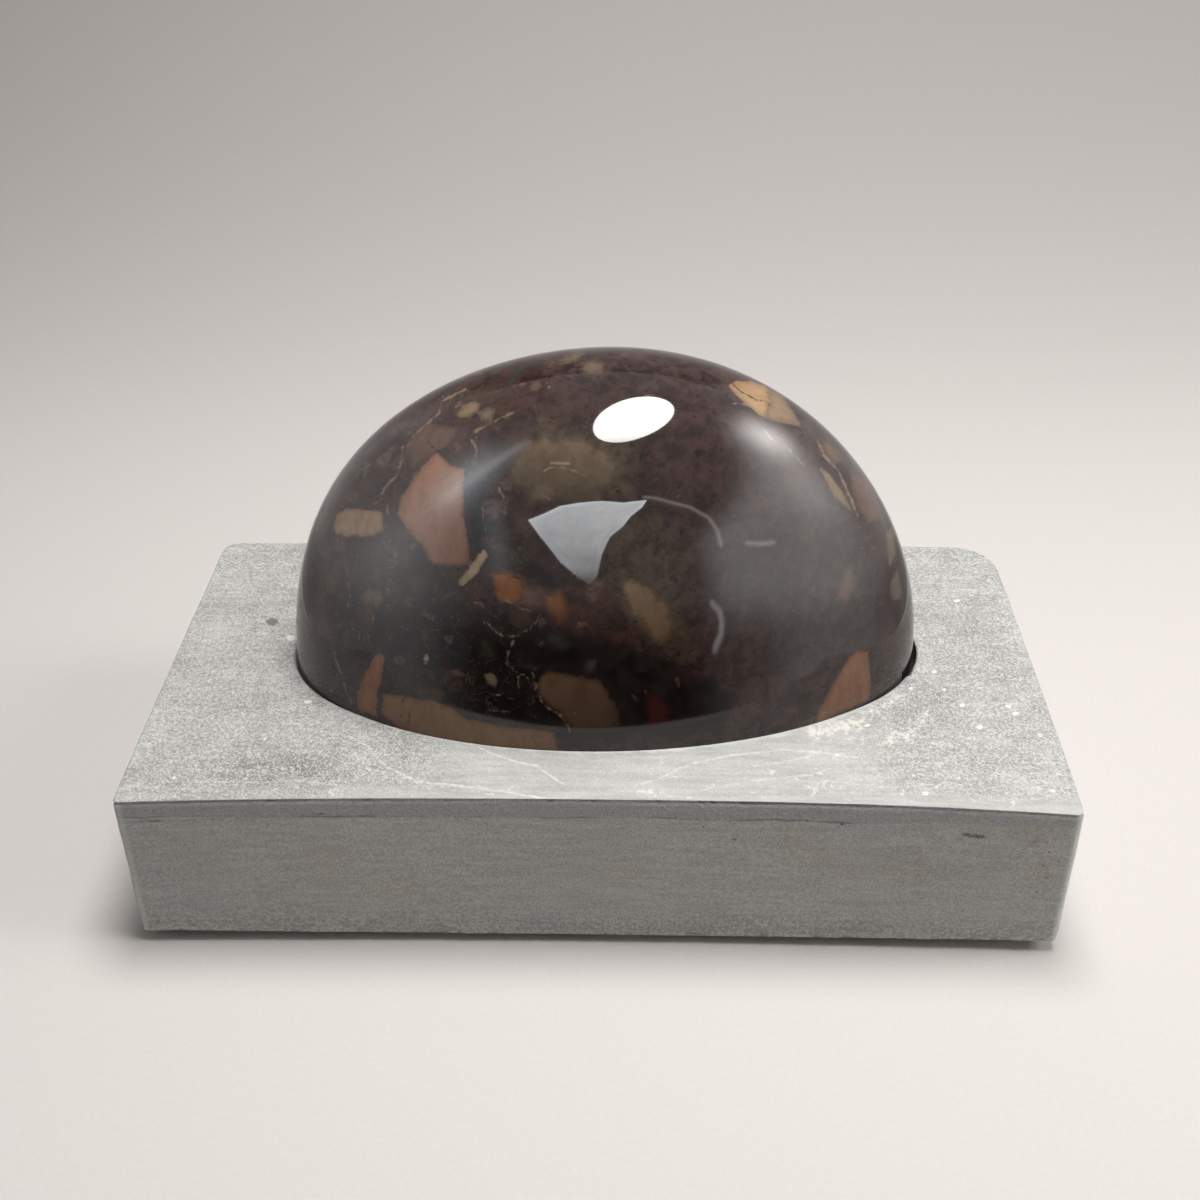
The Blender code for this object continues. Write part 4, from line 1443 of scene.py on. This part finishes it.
# The window's glow: everywhere, more of it higher up, on its bright upper rim, and in its creases.
WINDOW_GLOW = 4.6
WINDOW_HIGH_GLOW = 4.0
WINDOW_RIM_GLOW = 2.0
WINDOW_CREASE_GLOW = 1.6
WINDOW_TINT = (0.93, 0.97, 1.0)
WINDOW_HEIGHTS = (0.0712, 0.1392)
WINDOW_FADE = (0.0672, 0.0792)


# Broad soft glows on the sleeve: brightness, middle and reach, in degrees.
WARM_HILLS = ((1.05, (-60, 12), (15, 13)), (10.5, (89, 45), (14, 8.5)), (2.4, (78, 27), (17, 12)))
BLUE_HILL = (2.7, (-49, 38), (11, 14))
HAZE_HOLLOW = (0.72, (36, -9), (12, 8))
STREAK_REACH = 3.6
ARC_BRIGHTNESS = 2.2
WARM = (1.0, 0.965, 0.945)
GREENISH = (0.965, 0.985, 0.95)
BLUISH = (0.84, 0.93, 1.0)


def hill(places, brightness, middle, reach):
    return brightness * spot_share(places, middle, reach)


def hazy_right(turn, climb):
    """The pale haze on the right, which begins further right the higher it is."""
    steep = np.maximum(climb - 15, 0)
    start = smooth_step(0, 1, (turn - 23 - 0.9 * steep) / (14 + 0.5 * steep))
    return start * (1 - 0.70 * smooth_step(62, 102, turn))


def sleeve_glow(turn, climb):
    """How bright the sleeve is in each direction, as red, green and blue, and how much it covers."""
    places = np.stack([turn, climb], axis=-1)
    low = smooth_step(4, -7, climb)
    left = smooth_step(-26, -50, turn) * (1 - 0.42 * smooth_step(-85, -105, turn))
    glow = 0.40 * (1 - 0.93 * low) + 0.62 * left
    for warm_hill in WARM_HILLS:
        glow += hill(places, *warm_hill)
    for arc in BRIGHT_ARCS:
        glow += ARC_BRIGHTNESS * smooth_step(-1.0, -0.1, line_depth(places, arc))
    sky = hill(places, *BLUE_HILL)
    for brightness, streak in BLUE_STREAKS:
        sky += brightness * np.exp(-(line_depth(places, streak) / STREAK_REACH) ** 2)
    haze = 1.78 * hazy_right(turn, climb) * (1 - 0.42 * low) * (1 - hill(places, *HAZE_HOLLOW))
    light = np.zeros((len(turn), 3))
    for brightness, tint in ((glow, WARM), (haze, GREENISH), (sky, BLUISH)):
        light += brightness[:, None] * np.array(tint)
    cover = smooth_step(-148, -118, turn) * smooth_step(148, 118, turn) * smooth_step(65, 50, climb)
    return light, cover


def mirrored_material(name):
    """A glow from the mesh's own numbers, seen through where its cover is none."""
    material, g = new_material(name)
    emission = g.node("ShaderNodeEmission", {"Color": g.attribute("glow", "Color")})
    clear = g.node("ShaderNodeBsdfTransparent")
    shaders = {0: g.attribute("cover"), 1: clear.outputs[0], 2: emission.outputs[0]}
    blend = g.node("ShaderNodeMixShader", shaders)
    g.put(g.tree.nodes["Material Output"].inputs[0], blend.outputs[0])
    return material


def only_mirrored(obj):
    obj.visible_camera = False
    obj.visible_diffuse = False
    obj.visible_shadow = False


def make_sleeve():
    turn_steps = np.arange(SLEEVE_TURNS[0], SLEEVE_TURNS[1] + SLEEVE_STEP, SLEEVE_STEP)
    climb_steps = np.arange(SLEEVE_CLIMBS[0], SLEEVE_CLIMBS[1] + SLEEVE_STEP, SLEEVE_STEP)
    turn, climb = [grid.ravel() for grid in np.meshgrid(turn_steps, climb_steps)]
    a = np.radians(turn)
    e = np.radians(climb)
    points = np.array(SLEEVE_MIDDLE) + SLEEVE_RADIUS * np.stack(
        [np.sin(a) * np.cos(e), -np.cos(a) * np.cos(e), np.sin(e)], axis=-1)
    wide = len(turn_steps)
    i, j = [grid.ravel() for grid in np.meshgrid(np.arange(wide - 1), np.arange(len(climb_steps) - 1))]
    corner = j * wide + i
    faces = np.concatenate([
        np.stack([corner, corner + 1, corner + wide + 1], axis=-1),
        np.stack([corner, corner + wide + 1, corner + wide], axis=-1),
    ])
    sleeve = mesh_object("mirrored_room", points, faces, mirrored_material("mirrored_room"))
    glow, cover = sleeve_glow(turn, climb)
    set_colors(sleeve, "glow", glow)
    set_numbers(sleeve, "cover", cover)
    only_mirrored(sleeve)


def make_window():
    outline = np.array([(x, WINDOW_PLANE_Y, z) for x, z in WINDOW_OUTLINE])
    middle = outline.mean(axis=0)
    count = len(outline)
    points = [middle]
    faces = [(0, 1 + i, 1 + (i + 1) % count) for i in range(count)]
    for ring in range(1, WINDOW_RINGS + 1):
        points += list(middle + (outline - middle) * ring / WINDOW_RINGS)
        if ring > 1:
            inner = 1 + (ring - 2) * count
            outer = inner + count
            for i in range(count):
                j = (i + 1) % count
                faces += [(inner + i, outer + i, outer + j), (inner + i, outer + j, inner + j)]
    points = np.array(points)
    window = mesh_object("mirrored_window", points, faces, mirrored_material("mirrored_window"))
    mm = points * 1000
    high = smooth_step(*WINDOW_HEIGHTS, points[:, 2])
    edge = np.concatenate([[0.0], np.repeat(np.arange(1, WINDOW_RINGS + 1) / WINDOW_RINGS, count)])
    creases = noise(mm * np.array([0.35, 1.0, 1.0]), 7.0, 90, 3)
    rim = smooth_step(0.82, 1.0, edge) * high
    glow = WINDOW_GLOW + WINDOW_HIGH_GLOW * high + WINDOW_RIM_GLOW * rim + WINDOW_CREASE_GLOW * creases
    set_colors(window, "glow", glow[:, None] * np.array(WINDOW_TINT))
    set_numbers(window, "cover", smooth_step(*WINDOW_FADE, points[:, 2]))
    only_mirrored(window)


LAMP_TINT = (1.0, 0.985, 0.965)
WALL_TINT = (1.0, 0.96, 0.94)
FILL_TINT = (1.0, 0.97, 0.95)
LAMP_TARGET = (0.007, -0.0115, 0.1082)
WALL_TARGET = (0.02, -0.02, 0.08)
FILL_TARGET = (0.30, 0.05, 0.0)
# The overhead lamp as the polish mirrors it, and the light that it gives, from further back.
MIRRORED_LAMP_PLACE = (0.0923, -0.1587, 0.6844)
MIRRORED_LAMP_SIZE = (0.515, 0.233)
MIRRORED_LAMP_ROLL = math.radians(45)
LIGHT_PLACE = (0.060, 0.020, 0.6900)
LIGHT_SIZE = (0.42, 0.26)
LIGHT_STRENGTH = 22.0
WALL_PLACE = (0.95, -0.40, 0.45)
FILL_PLACE = (0.80, -0.05, 0.62)


def make_lights():
    lamp = make_card("overhead_lamp", MIRRORED_LAMP_PLACE, LAMP_TARGET, MIRRORED_LAMP_SIZE, LAMP_TINT,
                     LIGHT_STRENGTH, roll=MIRRORED_LAMP_ROLL)
    lamp.visible_diffuse = False
    light = make_card("overhead_light", LIGHT_PLACE, LAMP_TARGET, LIGHT_SIZE, LAMP_TINT, LIGHT_STRENGTH)
    light.visible_glossy = False
    make_card("right_wall", WALL_PLACE, WALL_TARGET, (0.9, 0.9), WALL_TINT, 1.2, soft=0.30)
    fill = make_card("right_fill", FILL_PLACE, FILL_TARGET, (0.5, 0.5), FILL_TINT, 11.5, soft=0.30)
    fill.visible_glossy = False
    make_sleeve()
    make_window()


make_camera()
make_world()
make_stage()
make_lights()

stone_points, stone_faces = stone_body()
stone = mesh_object("puddingstone_dome", stone_points, stone_faces, stone_material())
paint_stone(stone, stone_points, stone_faces)
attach(stone, "root")
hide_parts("stone")

block_points, block_faces = block_body()
block_points = wear_block(block_points, block_faces)
block = mesh_object("cement_stand", block_points, block_faces, cement_material())
paint_block(block, block_points, block_faces)
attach(block, "root")
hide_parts("cement_block")

bpy.context.scene.view_settings.view_transform = "Standard"
bpy.context.scene.view_settings.look = "None"
